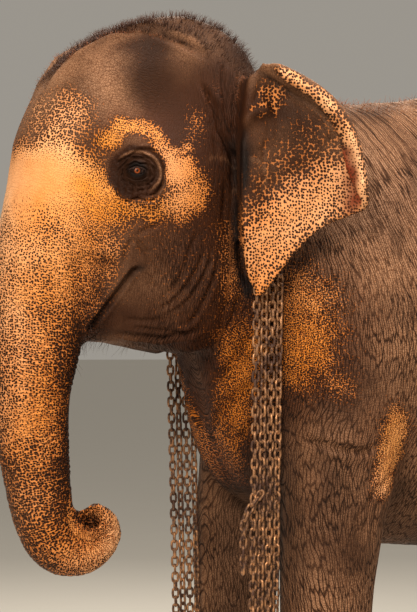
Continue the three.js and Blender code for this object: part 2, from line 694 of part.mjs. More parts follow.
const sphere = (at, radius, segments) => ellipsoid(at, [radius, radius, radius], segments);
let head = whole.intersect(headRegion).subtract(trunkRoot).subtract(jawHole).subtract(trunkAll);
const eyes = SIDES.map(([name, side]) => {
  const [x, out, z] = EYE.at;
  const at = [x, side * out, z];
  const opening = [x - EYE.forward, side * (out + EYE.radius), z];
  const lids = sphere(at, EYE.radius + EYE.lid, 14);
  const slit = ellipsoid(opening, [EYE.slit / 2, EYE.radius, EYE.open / 2], 12);
  head = head.add(lids).subtract(slit).subtract(sphere(at, EYE.radius + GAP, 12));
  return [name, sphere(at, EYE.radius, 12)];
});
node("head", largest(head), HIDE);
for (const [name, ball] of eyes) node(`eye_${name}`, ball, EYEBALL);
node("lower_jaw", largest(whole.intersect(jawRegion).subtract(trunkAll).subtract(mouthSlit)), HIDE);
node("neck", largest(whole.intersect(neckRegion)), HIDE);
node("torso", largest(whole.intersect(torsoRegion)), HIDE);

TRUNK_NAMES.forEach((name, i) => {
  const isTip = i === TRUNK_NAMES.length - 1;
  const end = TRUNK_CUTS[i + 1] - (isTip ? 0 : TRUNK_GAP);
  let length = trunkLength(TRUNK_CUTS[i], end, isTip ? 18 : 9);
  if (isTip) length = length.add(ellipsoid(FINGER.at, FINGER.size, 8)).subtract(nostrils());
  node(name, largest(length), PALE_HIDE);
});

// Ears, cut clear of the head and neck they grow from
const earBed = joined(skull(GAP), barrel(GAP + 1));
for (const [name, side] of SIDES) node(`ear_${name}`, largest(ear(side).subtract(earBed)), PALE_HIDE);

// Legs, feet and nails
const slab = (low, high) => region([[-600, low], [-600, high], [2400, high], [2400, low]]);
const shankRegion = slab(FOOT_CUT + GAP, BELLY_CUT - GAP);
const footRegion = slab(-50, FOOT_CUT);
for (const end of ["fore", "hind"]) {
  const isFore = end === "fore";
  const rows = isFore ? FORELEG_ROWS : HINDLEG_ROWS;
  for (const [name, side] of SIDES) {
    const key = `${end}_${name}`;
    node(`${end}leg_${name}`, legs[key].intersect(shankRegion), HIDE);
    let foot = legs[key].intersect(footRegion);
    nails(rows, side, STRIDES[key], isFore ? 5 : 4).forEach(({ at, size, turn }, i) => {
      const grown = size.map((value) => value + GAP);
      foot = foot.subtract(ellipsoid(at, grown, 8, 0, turn));
      node(`${end}foot_${name}_nail_${i + 1}`, ellipsoid(at, size, 8, 0, turn), HORN);
    });
    node(`${end}foot_${name}`, largest(foot), HIDE);
  }
}

// Tail
const tail = limb(TAIL_ROWS, { segments: 12, rings: 16, to: TUFT_START - 3e-4 });
node("tail", largest(tail.subtract(barrel(2 * GAP))), HIDE);
node("tail_tuft", tuft(), BRISTLE);

// Chains
const hide = meshOf(whole, { ...HIDE, side: THREE.DoubleSide });
const out = hangOut(hide);
for (let i = 0; i < CHAIN.strands; i++) {
  node(`chain_over_${i + 1}`, strandOver(i, hide, out), RUSTY_STEEL);
}
for (const [name, side] of SIDES) {
  for (const pair of [0, 1]) {
    let strands = hangingPair(2 * pair, side, CHAIN_END[name], out);
    if (name === "left" && pair === 0) strands = strands.add(freeEnd(out));
    node(`chain_${name}_${pair + 1}`, strands, RUSTY_STEEL);
  }
}

// The origin is at the middle of the box, on the floor.
const box = new THREE.Box3().setFromObject(elephant);
elephant.position.set(-(box.min.x + box.max.x) / 2, -(box.min.y + box.max.y) / 2, -box.min.z);

export default elephant;
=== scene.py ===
"""Dresses the life-size Asian elephant: one wrinkled, freckled skin over its solids, eyes, toenails,
bristles, the steel chains over its neck, and a plain studio."""

import logging
import math
from contextlib import contextmanager
from dataclasses import dataclass, field
from enum import Enum
from functools import partial
from typing import Any, Callable, Iterator, Sequence

import bpy
import numpy as np
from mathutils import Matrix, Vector
from mathutils.bvhtree import BVHTree


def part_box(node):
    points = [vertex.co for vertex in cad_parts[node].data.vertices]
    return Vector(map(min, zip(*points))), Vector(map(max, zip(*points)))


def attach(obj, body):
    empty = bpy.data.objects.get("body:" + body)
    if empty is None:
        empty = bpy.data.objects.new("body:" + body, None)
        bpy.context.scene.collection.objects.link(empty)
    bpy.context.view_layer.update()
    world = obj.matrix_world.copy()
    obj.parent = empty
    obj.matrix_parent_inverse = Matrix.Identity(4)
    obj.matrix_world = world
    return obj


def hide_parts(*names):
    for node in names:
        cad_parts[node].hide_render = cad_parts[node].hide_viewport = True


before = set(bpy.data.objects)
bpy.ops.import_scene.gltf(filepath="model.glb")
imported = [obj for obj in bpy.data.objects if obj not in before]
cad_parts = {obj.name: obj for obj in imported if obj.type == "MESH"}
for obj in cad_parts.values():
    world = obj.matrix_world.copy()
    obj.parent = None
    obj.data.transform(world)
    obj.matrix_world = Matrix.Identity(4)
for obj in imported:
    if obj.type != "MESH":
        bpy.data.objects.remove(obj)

log = logging.getLogger("elephant")
Point = tuple[float, float, float]
Piece = bpy.types.Object
Material = bpy.types.Material
Adder = Callable[..., Any]

TIDY_EDGE = 1e-4  # vertices of a copied node closer than this are one, in metres
NODES: list[str] = sorted(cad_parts)
UP = np.array([0.0, 0.0, 1.0])
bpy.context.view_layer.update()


class Side(Enum):
    """A side of the animal, with the sign of Y there."""

    LEFT = -1
    RIGHT = 1

    def node(self, part: str) -> str:
        """The name of a part's solid on this side."""
        return f"{part}_{self.name.lower()}"


class Spot(Enum):
    """Names of the values that the skin carries at each point."""

    PALE = "pale"
    # how dark the skin is, partly its own dark tone and partly painted shade
    DUSK = "dusk"
    WARM = "warm"
    RUN = "run"
    TURN = "turn"
    RINGS = "rings"
    TRUNK = "trunk"
    GRAIN = "grain"
    CROSS = "cross"
    CUT = "cut"
    # painted shade laid over the colour in creases, gaps, hollows, undersides and the eye sockets
    SOOT = "soot"
    BLUSH = "blush"
    FINE = "fine"


# ---- small tools ----


def choose(*pieces: Piece) -> None:
    """Selects these pieces and nothing else, and makes the first one active.

    Args:
        pieces: the objects to select.
    """
    bpy.ops.object.select_all(action="DESELECT")
    for piece in pieces:
        piece.select_set(True)
    bpy.context.view_layer.objects.active = pieces[0]


def apply_modifier(piece: Piece, kind: str, **settings: Any) -> None:
    """Adds a modifier with its settings and applies it at once.

    Args:
        piece: the object that it changes.
        kind: Blender's name of the modifier.
        settings: the modifier's own settings.
    """
    choose(piece)
    modifier = piece.modifiers.new(kind.lower(), kind)
    for name, value in settings.items():
        setattr(modifier, name, value)
    bpy.ops.object.modifier_apply(modifier=modifier.name)


def joined(name: str, pieces: Sequence[Piece]) -> Piece:
    """Joins pieces into one object.

    Args:
        name: the new object's name.
        pieces: the objects to join.

    Returns:
        The joined object.
    """
    choose(*pieces)
    if len(pieces) > 1:
        bpy.ops.object.join()
    whole = bpy.context.view_layer.objects.active
    whole.name = name
    return whole


@contextmanager
def editing(piece: Piece, chosen: np.ndarray | None = None) -> Iterator[None]:
    """Opens a piece in edit mode for a while, with all of it or some of its vertices selected.

    Args:
        piece: the object.
        chosen: for each vertex whether it is selected, or None for all of them.

    Yields:
        Nothing.
    """
    choose(piece)
    bpy.ops.object.mode_set(mode="EDIT")
    bpy.ops.mesh.select_all(action="SELECT" if chosen is None else "DESELECT")
    if chosen is not None:
        bpy.ops.object.mode_set(mode="OBJECT")
        piece.data.vertices.foreach_set("select", chosen)
        bpy.ops.object.mode_set(mode="EDIT")
    yield
    bpy.ops.object.mode_set(mode="OBJECT")


def formed(shape: Callable[..., Any], **settings: Any) -> Piece:
    """Adds one of Blender's forms, and applies its place, turn and size.

    Args:
        shape: the operator that adds it.
        settings: the operator's own settings.

    Returns:
        The new object.
    """
    bpy.ops.object.select_all(action="DESELECT")
    shape(**settings)
    bpy.ops.object.transform_apply(location=True, rotation=True, scale=True)
    return bpy.context.view_layer.objects.active


def copied(piece: Piece) -> Piece:
    """Copies an object and its mesh, without its parent and its notes.

    Args:
        piece: the object.

    Returns:
        The copy.
    """
    copy = piece.copy()
    copy.data = piece.data.copy()
    copy.parent = None
    for key in list(copy.keys()):
        del copy[key]
    bpy.context.scene.collection.objects.link(copy)
    return copy


def copy_nodes(name: str, nodes: Sequence[str]) -> Piece:
    """Copies solids into one object whose vertices are merged, and leaves the solids alone.

    Args:
        name: the new object's name.
        nodes: the names of the solids.

    Returns:
        The merged copy.
    """
    whole = joined(name, [copied(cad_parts[node]) for node in nodes])
    with editing(whole):
        bpy.ops.mesh.remove_doubles(threshold=TIDY_EDGE)
    return whole


def points_of(piece: Piece) -> np.ndarray:
    """The places of a piece's vertices, one row each."""
    values = np.empty(len(piece.data.vertices) * 3, np.float32)
    piece.data.vertices.foreach_get("co", values)
    return values.reshape(-1, 3).astype(float)


def normals_of(piece: Piece) -> np.ndarray:
    """The outward directions at a piece's vertices, one row each."""
    values = np.empty(len(piece.data.vertices) * 3, np.float32)
    piece.data.vertex_normals.foreach_get("vector", values)
    return values.reshape(-1, 3).astype(float)


def move_points(piece: Piece, points: np.ndarray) -> None:
    """Puts a piece's vertices at new places.

    Args:
        piece: the object.
        points: one row for each vertex.
    """
    piece.data.vertices.foreach_set("co", points.astype(np.float32).ravel())
    piece.data.update()


def write_values(piece: Piece, name: str, values: np.ndarray) -> None:
    """Stores one number for each vertex, which a material can read.

    Args:
        piece: the object.
        name: what the number is called.
        values: one number for each vertex.
    """
    attribute = piece.data.attributes.new(name, "FLOAT", "POINT")
    attribute.data.foreach_set("value", values.astype(np.float32))


def new_piece(name: str, points: np.ndarray, faces: np.ndarray) -> Piece:
    """Makes an object from arrays, for shapes that are repeated many times.

    Args:
        name: the object's name.
        points: one row for each vertex.
        faces: one row of vertex numbers for each face.

    Returns:
        The new object.
    """
    mesh = bpy.data.meshes.new(name)
    mesh.vertices.add(len(points))
    mesh.vertices.foreach_set("co", points.astype(np.float32).ravel())
    wide = faces.shape[1]
    mesh.loops.add(faces.size)
    mesh.loops.foreach_set("vertex_index", faces.astype(np.int32).ravel())
    mesh.polygons.add(len(faces))
    mesh.polygons.foreach_set("loop_start", np.arange(0, faces.size, wide, dtype=np.int32))
    mesh.update(calc_edges=True)
    piece = bpy.data.objects.new(name, mesh)
    bpy.context.scene.collection.objects.link(piece)
    return piece


def smooth_all(piece: Piece) -> None:
    """Shades every face of a piece smoothly."""
    piece.data.polygons.foreach_set("use_smooth", np.ones(len(piece.data.polygons), bool))
    piece.data.update()


def soft_step(low: float, high: float, values: np.ndarray) -> np.ndarray:
    """A smooth rise from 0 at low to 1 at high.

    Args:
        low: where the rise starts. It may be above high, for a fall.
        high: where the rise ends.
        values: where it is read.

    Returns:
        The rise at each value.
    """
    t = np.clip((values - low) / (high - low), 0, 1)
    return t * t * (3 - 2 * t)


def bell(values: Any, power: int = 2) -> Any:
    """A bell curve with its top of 1 at 0, steeper and flatter on top with a higher power."""
    return np.exp(-(values**power))


def to_path(points: np.ndarray, path: Sequence[Point]) -> tuple[np.ndarray, np.ndarray]:
    """How far points are from a path of straight stretches.

    Args:
        points: one row each.
        path: the corners of the path.

    Returns:
        The distance of each point, and how far along the path it is, from 0 to 1.
    """
    corners = np.array(path, float)
    lengths = np.linalg.norm(np.diff(corners, axis=0), axis=1)
    total, gone = lengths.sum(), 0.0
    nearest = np.full(len(points), np.inf)
    along = np.zeros(len(points))
    for start, end, length in zip(corners[:-1], corners[1:], lengths):
        way = (end - start) / length
        t = np.clip((points - start) @ way, 0, length)
        away = np.linalg.norm(points - start - t[:, None] * way, axis=1)
        closer = away < nearest
        nearest[closer] = away[closer]
        along[closer] = (gone + t[closer]) / total
        gone += length
    return nearest, along


def ripple(values: np.ndarray, seed: int, waves: int = 6) -> np.ndarray:
    """A smooth random line, from about -1 to 1, one cycle for each unit or so.

    Args:
        values: where it is read.
        seed: which line.
        waves: how many waves are added.

    Returns:
        Its height at each value.
    """
    rng = np.random.default_rng(seed)
    total = np.zeros_like(values)
    for _ in range(waves):
        pitch, phase = rng.uniform(0.6, 1.5), rng.uniform(0, 2 * math.pi)
        total += np.sin(2 * math.pi * pitch * values + phase)
    return total / math.sqrt(waves * 2)


def cloud_at(points: np.ndarray, size: float, seed: int, waves: int = 9) -> np.ndarray:
    """Soft random humps and hollows in space, mostly from -2 to 2.

    Args:
        points: one row each.
        size: how long the waves are, in metres.
        seed: which random field.
        waves: how many waves are added.

    Returns:
        Its height at each point.
    """
    rng = np.random.default_rng(seed)
    total = np.zeros(len(points))
    for _ in range(waves):
        way = rng.normal(size=3)
        way *= 2 * math.pi * rng.uniform(0.6, 1.5) / size / np.linalg.norm(way)
        total += np.sin(points @ way + rng.uniform(0, 2 * math.pi))
    return total / math.sqrt(waves / 2)


def mirrored(points: np.ndarray) -> np.ndarray:
    """The same points, all on the left side of the animal."""
    left = points.copy()
    left[:, 1] = -np.abs(left[:, 1])
    return left


def in_metres(millimetres: Any) -> np.ndarray:
    """Places that were given in millimetres."""
    return np.array(millimetres, float) / 1000


def away_from(path: Sequence[Point], left: np.ndarray) -> np.ndarray:
    """How far points of the left side are from a path that was set in millimetres."""
    return to_path(left, in_metres(path))[0]


def unit(ways: np.ndarray) -> np.ndarray:
    """The same way, or one in each row, with a length of 1."""
    return ways / (np.linalg.norm(ways) if ways.ndim == 1 else np.linalg.norm(ways, axis=1)[:, None])


def tree_of(piece: Piece) -> BVHTree:
    """A search tree over the faces of a piece."""
    mesh = piece.data
    return BVHTree.FromPolygons([v.co[:] for v in mesh.vertices], [f.vertices[:] for f in mesh.polygons])


def eye_middle(side: Side) -> Vector:
    """The middle of an eyeball."""
    low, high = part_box(side.node("eye"))
    return (low + high) / 2


def eye_frame(side: Side) -> tuple[np.ndarray, np.ndarray, np.ndarray, np.ndarray]:
    """The middle of an eyeball, and the ways to the back of the head, up and out from it.

    Args:
        side: which eye.

    Returns:
        The middle and the three ways.
    """
    out = unit(np.array([-0.42, side.value * 0.90, 0.02]))
    up = unit(UP - out * out[2])
    back = np.cross(up, out) * side.value
    return np.array(eye_middle(side)), back * np.sign(back[0]), up, out


# ---- materials ----

WORKS = {"Mix": "data_type", "MapRange": "interpolation_type"}


def colour(code: str) -> tuple[float, float, float, float]:
    """Turns an sRGB hex colour into linear light.

    Args:
        code: six hex digits after a #.

    Returns:
        Red, green, blue and alpha.
    """
    parts = [int(code[i : i + 2], 16) / 255 for i in (1, 3, 5)]
    red, green, blue = [p / 12.92 if p <= 0.04045 else ((p + 0.055) / 1.055) ** 2.4 for p in parts]
    return red, green, blue, 1.0


def add_node(tree: bpy.types.NodeTree, kind: str, *feeds: Any, out: str = "", **settings: Any) -> Any:
    """Adds one node with its settings and what feeds it.

    Args:
        tree: the material's node tree.
        kind: Blender's name of the node type, without ShaderNode. A second word is what it works with.
            Arithmetic is named by its operation alone, with a star to keep the result within 0 and 1.
        feeds: for each input in turn a socket to link or a value or hex colour to set, or one dictionary.
        out: the name of the output that is wanted, or nothing for the first one in use.
        settings: the node's own settings.

    Returns:
        The output.
    """
    if kind.rstrip("*").isupper():
        settings["use_clamp"] = kind.endswith("*")
        kind = "Math " + kind.rstrip("*")
    kind, _, work = kind.partition(" ")
    if work:
        settings[WORKS.get(kind, "operation")] = work
    node = tree.nodes.new("ShaderNode" + kind)
    for name, value in settings.items():
        setattr(node, name, value)
    shown = [socket for socket in node.inputs if socket.enabled]
    named = feeds[0] if feeds and isinstance(feeds[0], dict) else dict(enumerate(feeds))
    for name, value in named.items():
        socket = shown[name] if isinstance(name, int) else node.inputs[name]
        if isinstance(value, bpy.types.NodeSocket):
            tree.links.new(value, socket)
        else:
            socket.default_value = colour(value) if isinstance(value, str) else value
    return node.outputs[out] if out else next((socket for socket in node.outputs if socket.enabled), None)


def blank(name: str) -> tuple[Material, Adder]:
    """A new material without nodes.

    Args:
        name: the material's name.

    Returns:
        The material, and a function that adds nodes to it.
    """
    material = bpy.data.materials.new(name)
    material.use_nodes = True
    material.node_tree.nodes.clear()
    return material, partial(add_node, material.node_tree)


@dataclass(frozen=True)
class ElephantHide:
    """Living elephant hide, grey-brown and finely cracked, with freckled patches that lost their pigment.

    Dry horny skin scatters the light broadly. The raised cells between the cracks are lightened as a painted
    highlight, and the cracks, creases and hollows are darkened as painted shade.
    """

    name: str = "living_elephant_hide"
    # ridge: the painted highlight on the raised cells between the cracks
    ridge: str = "#b48b6c"
    hide: str = "#7d5236"
    umber: str = "#1d0f07"
    # crack and pale_crack: the painted shade in the cracks, on dark and on pale skin
    crack: str = "#0d0603"
    peach: str = "#edb88a"
    ochre: str = "#e09238"
    russet: str = "#ad5a15"
    blush: str = "#66200b"
    freckle: str = "#170a05"
    bronze: str = "#4a2208"
    pale_crack: str = "#84441a"
    # the colour of the painted shade
    soot: str = "#0a0504"
    dot_pitch: float = 0.0090
    trunk_dot_pitch: float = 0.0081
    ring_size: tuple[float, float] = (0.0095, 0.046)
    wrinkle_size: tuple[float, float] = (0.0066, 0.066)
    furrow_size: tuple[float, float] = (0.031, 0.125)
    cross_size: tuple[float, float] = (0.034, 0.0088)
    pebble_size: float = 0.0065
    wrinkle_depth: float = 0.0026
    roughness: float = 0.56

    def cells(self, add: Adder, source: Any, size: Sequence[float], edge: float) -> Any:
        """Skin that is split into cells by cracks.

        Args:
            add: adds a node to the material.
            source: the coordinates, of which two or three are used.
            size: how large a cell is each way, in metres.
            edge: how wide the cracks are, as a share of a cell.

        Returns:
            A socket that is 0 in a crack and 1 on a cell.
        """
        scale = tuple(1 / s for s in size) + (1.0,) * (3 - len(size))
        drawn = add("Mapping", {"Vector": source, "Scale": scale})
        split = add("TexVoronoi", drawn, 1.0, voronoi_dimensions=f"{len(size)}D", feature="DISTANCE_TO_EDGE")
        return add("MapRange SMOOTHSTEP", split, 0.0, edge)

    def wobbled(self, add: Adder, place: Any, value: Any, steps: Sequence[Point]) -> Any:
        """A coordinate with soft random shifts, so that nothing runs straight.

        Args:
            add: adds a node to the material.
            place: where the shifts are read.
            value: the coordinate.
            steps: for each shift its waves in a metre, how far it goes, and an offset that sets it apart.

        Returns:
            The shifted coordinate.
        """
        for scale, reach, apart in steps:
            noise = add("TexNoise", add("VectorMath ADD", place, (apart,) * 3), scale, 1.0)
            value = add("MULTIPLY_ADD", add("SUBTRACT", noise, 0.5), 2 * reach, value)
        return value

    def dots(self, add: Adder, across: Any, up: Any, pitch: float) -> tuple[Any, Any]:
        """Dots that are scattered evenly over a surface.

        Args:
            add: adds a node to the material.
            across: the first coordinate on the surface, in metres.
            up: the second one.
            pitch: how far apart the dots are, in metres.

        Returns:
            How far each point is from its dot's middle, and a random number for each dot.
        """
        scale = (1 / pitch, 1 / pitch, 1.0)
        drawn = add("Mapping", {"Vector": add("CombineXYZ", across, up), "Scale": scale})
        near = add("TexVoronoi", {"Vector": drawn, "Scale": 1.0, "Randomness": 0.72},
                   voronoi_dimensions="2D")
        return near, add("SeparateXYZ", near.node.outputs["Color"])

    def build(self) -> Material:
        """Makes the material.

        Returns:
            The material.
        """
        material, add = blank(self.name)
        place = add("TexCoord", out="Object")
        spot = {s: add("Attribute", out="Fac", attribute_name=s.value) for s in Spot}
        parts = add("SeparateXYZ", place).node.outputs

        def worn(socket: Any, share: Any) -> Any:
            """How deep a kind of crack is cut, from 0 to its share."""
            return add("MULTIPLY", add("SUBTRACT", 1.0, socket), share)

        def clouds(scale: float, detail: float) -> Any:
            """Soft noise with so many waves in a metre."""
            return add("TexNoise", place, scale, detail)

        # cracks: long ones along the grain of the hide, furrows, crossing ones, and rings round the trunk
        grain = self.wobbled(add, place, spot[Spot.GRAIN], ((9.0, 0.012, 0.0), (40.0, 0.0022, 3.0)))
        cross = self.wobbled(add, place, spot[Spot.CROSS], ((11.0, 0.010, 7.0),))
        woven = add("CombineXYZ", grain, cross)
        run = self.wobbled(add, place, spot[Spot.RUN], ((16.0, 0.006, 5.0), (60.0, 0.0010, 1.0)))
        ringed = add("CombineXYZ", run, spot[Spot.TURN])
        wrinkles = self.cells(add, woven, self.wrinkle_size, 0.17)
        furrows = self.cells(add, woven, self.furrow_size, 0.05)
        crossing = self.cells(add, woven, self.cross_size, 0.16)
        rings = self.cells(add, ringed, self.ring_size, 0.22)
        pebble = self.cells(add, place, (self.pebble_size,) * 3, 0.14)
        busy = add("MapRange", clouds(6.0, 2.0), 0.35, 0.62, 0.55, 1.0)
        cut = worn(wrinkles, add("MULTIPLY", busy, 0.9))
        cut = add("ADD", cut, worn(furrows, 0.24))
        cut = add("ADD", cut, worn(crossing, 0.15))
        cut = add("MULTIPLY", cut, spot[Spot.CUT])
        cut = add("ADD", cut, worn(rings, spot[Spot.RINGS]))

        # freckles: dark dots on clear skin, which close up into dark skin with few clear flecks
        jumble, jumble_up = ((28.0, 0.0040, 2.0),), ((28.0, 0.0040, 9.0),)
        outward = add("ABSOLUTE", parts[1])
        across = self.wobbled(add, place, add("MULTIPLY_ADD", outward, 0.43, parts[0]), jumble)
        up = self.wobbled(add, place, add("MULTIPLY_ADD", outward, 0.15, parts[2]), jumble_up)
        across, up = add("MULTIPLY", across, spot[Spot.FINE]), add("MULTIPLY", up, spot[Spot.FINE])
        near, lot = self.dots(add, across, up, self.dot_pitch)
        round_it = self.wobbled(add, place, spot[Spot.TURN], jumble)
        down = add("MULTIPLY", self.wobbled(add, place, spot[Spot.RUN], jumble_up), 1.22)
        trunk_near, trunk_lot = self.dots(add, round_it, down, self.trunk_dot_pitch)
        on_trunk = add("MULTIPLY_ADD*", spot[Spot.TRUNK], 8.0, -3.5)
        away = add("Mix FLOAT", on_trunk, near, trunk_near)
        lot = add("Mix FLOAT", on_trunk, lot, trunk_lot)
        spread = add("MULTIPLY", spot[Spot.PALE], add("SUBTRACT", 1.0, spot[Spot.PALE]))
        swing = add("MULTIPLY", add("SUBTRACT", clouds(17.0, 3.0), 0.5), 2.2)
        wide = add("MULTIPLY_ADD", spread, 0.45, spot[Spot.PALE])
        clear_share = add("MULTIPLY_ADD", spread, swing, wide)
        clear_share = add("Clamp", clear_share, 0.003, 0.985)
        size = add("MULTIPLY", add("LOGARITHM", clear_share, math.e), -1 / math.pi)
        size = add("POWER", size, 0.5)
        size = add("MULTIPLY", size, add("MULTIPLY_ADD", lot, 0.36, 0.80))
        size = add("MULTIPLY_ADD", add("SUBTRACT", clouds(300.0, 1.0), 0.5), 0.2, size)
        over = add("SUBTRACT", away, size)
        clear = add("MapRange SMOOTHSTEP", over, -0.07, 0.07)

        # colours
        cloud = add("MapRange", clouds(5.0, 5.0), 0.3, 0.7)
        sway = add("MULTIPLY", add("SUBTRACT", cloud, 0.5), 1.05)
        # murk: the skin's own dark tone together with painted shade, with a soft random sway
        murk = add("MULTIPLY_ADD*", sway, add("SUBTRACT", 1.1, spot[Spot.DUSK]), spot[Spot.DUSK])
        dark = add("Mix RGBA", murk, self.hide, self.umber)
        # painted highlight: the raised cells away from the cracks are lightened towards the ridge colour
        raised = add("SUBTRACT", 0.9, murk)
        raised = add("MULTIPLY*", raised, add("MULTIPLY", pebble, add("SUBTRACT", 0.75, cut)))
        dark = add("Mix RGBA", raised, dark, self.ridge)
        dark = add("Mix RGBA", add("MULTIPLY*", spot[Spot.WARM], 0.65), dark, self.bronze)
        spots = add("Mix RGBA", add("MULTIPLY*", lot, 0.05), self.freckle, self.russet)
        dark = add("Mix RGBA", add("MULTIPLY*", clear_share, 1.7), dark, spots)
        glow = add("MULTIPLY_ADD*", add("SUBTRACT", cloud, 0.5), 0.5, spot[Spot.WARM])
        pale = add("Mix RGBA", glow, self.peach, self.ochre)
        faint = add("MapRange", clear_share, 0.10, 0.78, 0.9, 0.0)
        pale = add("Mix RGBA", faint, pale, self.russet)
        pale = add("Mix RGBA", add("MULTIPLY*", murk, 0.55), pale, self.russet)
        solid = add("MapRange", clear_share, 0.0, 0.5, 0.4, 1.0)
        base = add("Mix RGBA", add("MULTIPLY", clear, solid), dark, pale)
        raw = add("Mix RGBA", clear, self.bronze, self.blush)
        base = add("Mix RGBA", spot[Spot.BLUSH], base, raw)
        # painted shade: the cracks and the edges of the pebbles are darkened in colour, less deeply on pale
        # skin
        worn_pale = add("MULTIPLY*", clear, add("MULTIPLY*", clear_share, 2.0))
        deep = add("Mix RGBA", worn_pale, self.crack, self.pale_crack)
        groove = add("MULTIPLY_ADD*", cut, 0.85, worn(pebble, 0.14))
        base = add("Mix RGBA", groove, base, deep)
        # painted shade over creases, gaps, hollows, undersides and the eye sockets
        base = add("Mix RGBA", spot[Spot.SOOT], base, self.soot)

        # relief
        height = add("MULTIPLY", cut, -1.0)
        height = add("MULTIPLY_ADD", pebble, 0.20, height)
        height = add("MULTIPLY_ADD", clouds(150.0, 2.0), 0.16, height)
        relief = add("Bump", {"Height": height, "Strength": 1.0, "Distance": self.wrinkle_depth})
        rough = add("MULTIPLY_ADD*", cut, 0.3, self.roughness)
        add("OutputMaterial", add("BsdfPrincipled", {
            "Base Color": base, "Roughness": rough, "Normal": relief, "IOR": 1.45,
            "Specular IOR Level": 0.14,
        }))
        return material


@dataclass(frozen=True)
class RustySteel:
    """Galvanised proof-coil chain, welded from bent wire, brown with rust and rubbed bright in random
    patches.
    """

    name: str = "rusty_welded_steel"
    steel: str = "#bd8a60"
    rust: str = "#3a1e0d"
    scale_mm: float = 4.0

    def build(self) -> Material:
        """Makes the material.

        Returns:
            The material.
        """
        material, add = blank(self.name)
        place = add("TexCoord", out="Object")
        noise = add("TexNoise", place, 1000 / self.scale_mm / 3, 3.0)
        both = add("ADD", noise, add("MULTIPLY", add("TexNoise", place, 9.0, 2.0), 0.7))
        share = add("MapRange", both, 0.55, 0.95)
        base = add("Mix RGBA", share, self.steel, self.rust)
        relief = add("Bump", {"Height": noise, "Strength": 0.5, "Distance": 0.0008})
        rough, metallic = (add("MULTIPLY_ADD*", share, *line) for line in ((0.35, 0.34), (-0.75, 0.85)))
        add("OutputMaterial", add("BsdfPrincipled", {
            "Base Color": base, "Roughness": rough, "Metallic": metallic, "Normal": relief,
        }))
        return material


@dataclass(frozen=True)
class Keratin:
    """Toenail horn, grown in thin layers and worn by the ground: pale, streaky and half matt."""

    name: str = "grown_toenail_horn"
    cream: str = "#b79f80"
    brown: str = "#6f5844"

    def build(self) -> Material:
        """Makes the material.

        Returns:
            The material.
        """
        material, add = blank(self.name)
        place = add("TexCoord", out="Object")
        lines = add("TexNoise", add("Mapping", {"Vector": place, "Scale": (40, 40, 260)}), 1.0, 3.0)
        cloud = add("TexNoise", place, 28.0, 3.0)
        share = add("MapRange", add("MULTIPLY_ADD", lines, 0.5, cloud), 0.55, 0.95)
        base = add("Mix RGBA", share, self.cream, self.brown)
        relief = add("Bump", {"Height": lines, "Strength": 0.6, "Distance": 0.0012})
        shader = add("BsdfPrincipled", {"Base Color": base, "Roughness": 0.5, "Normal": relief})
        add("OutputMaterial", shader)
        return material


@dataclass(frozen=True)
class WetEye:
    """A living eye under its tear film: amber iris, black pupil, dark brown white and sharp highlights."""

    name: str = "wet_amber_eye"
    amber: str = "#a8501a"
    bark: str = "#3a1608"
    white: str = "#160b07"

    def build(self) -> Material:
        """Makes the material.

        Returns:
            The material.
        """
        material, add = blank(self.name)
        out = add("Attribute", out="Fac", attribute_name="from_pupil")
        turn = add("Attribute", out="Fac", attribute_name="round_pupil")
        rays = add("CombineXYZ", add("MULTIPLY", turn, 9.0), add("MULTIPLY", out, 2.0))
        noise = add("TexNoise", rays, 1.0, 3.0)
        iris = add("Mix RGBA", noise, self.amber, self.bark)
        rim = add("MapRange SMOOTHSTEP", out, 0.22, 0.38)
        base = add("Mix RGBA", rim, iris, self.white)
        hole = add("MapRange SMOOTHSTEP", out, 0.13, 0.18)
        base = add("Mix RGBA", hole, "#050303", base)
        add("OutputMaterial", add("BsdfPrincipled", {
            "Base Color": base, "Roughness": 0.3, "IOR": 1.38, "Specular IOR Level": 0.25,
        }))
        return material


@dataclass(frozen=True)
class Bristle:
    """Coarse hair, round and stiff, with a soft shine, mottled between a dark and a lighter brown."""

    name: str = "coarse_elephant_bristle"
    tone: str = "#2a1b15"
    tip: str = "#57372a"
    roughness: float = 0.5

    def build(self) -> Material:
        """Makes the material.

        Returns:
            The material.
        """
        material, add = blank(self.name)
        noise = add("TexNoise", add("TexCoord", out="Object"), 60.0, 2.0)
        base = add("Mix RGBA", noise, self.tone, self.tip)
        add("OutputMaterial", add("BsdfPrincipled", {"Base Color": base, "Roughness": self.roughness}))
        return material


@dataclass(frozen=True)
class PaleFloor:
    """A seamless painted studio floor, matt and faintly mottled by the roller."""

    name: str = "rolled_matt_paint"
    tone: str = "#dcd8d0"

    def build(self) -> Material:
        """Makes the material.

        Returns:
            The material.
        """
        material, add = blank(self.name)
        share = add("MULTIPLY", add("TexNoise", add("TexCoord", out="Object"), 3.0, 4.0), 0.08)
        base = add("Mix RGBA", share, self.tone, "#b8b2a8")
        add("OutputMaterial", add("BsdfPrincipled", {"Base Color": base, "Roughness": 0.85}))
        return material


# ---- the shape of the hide ----


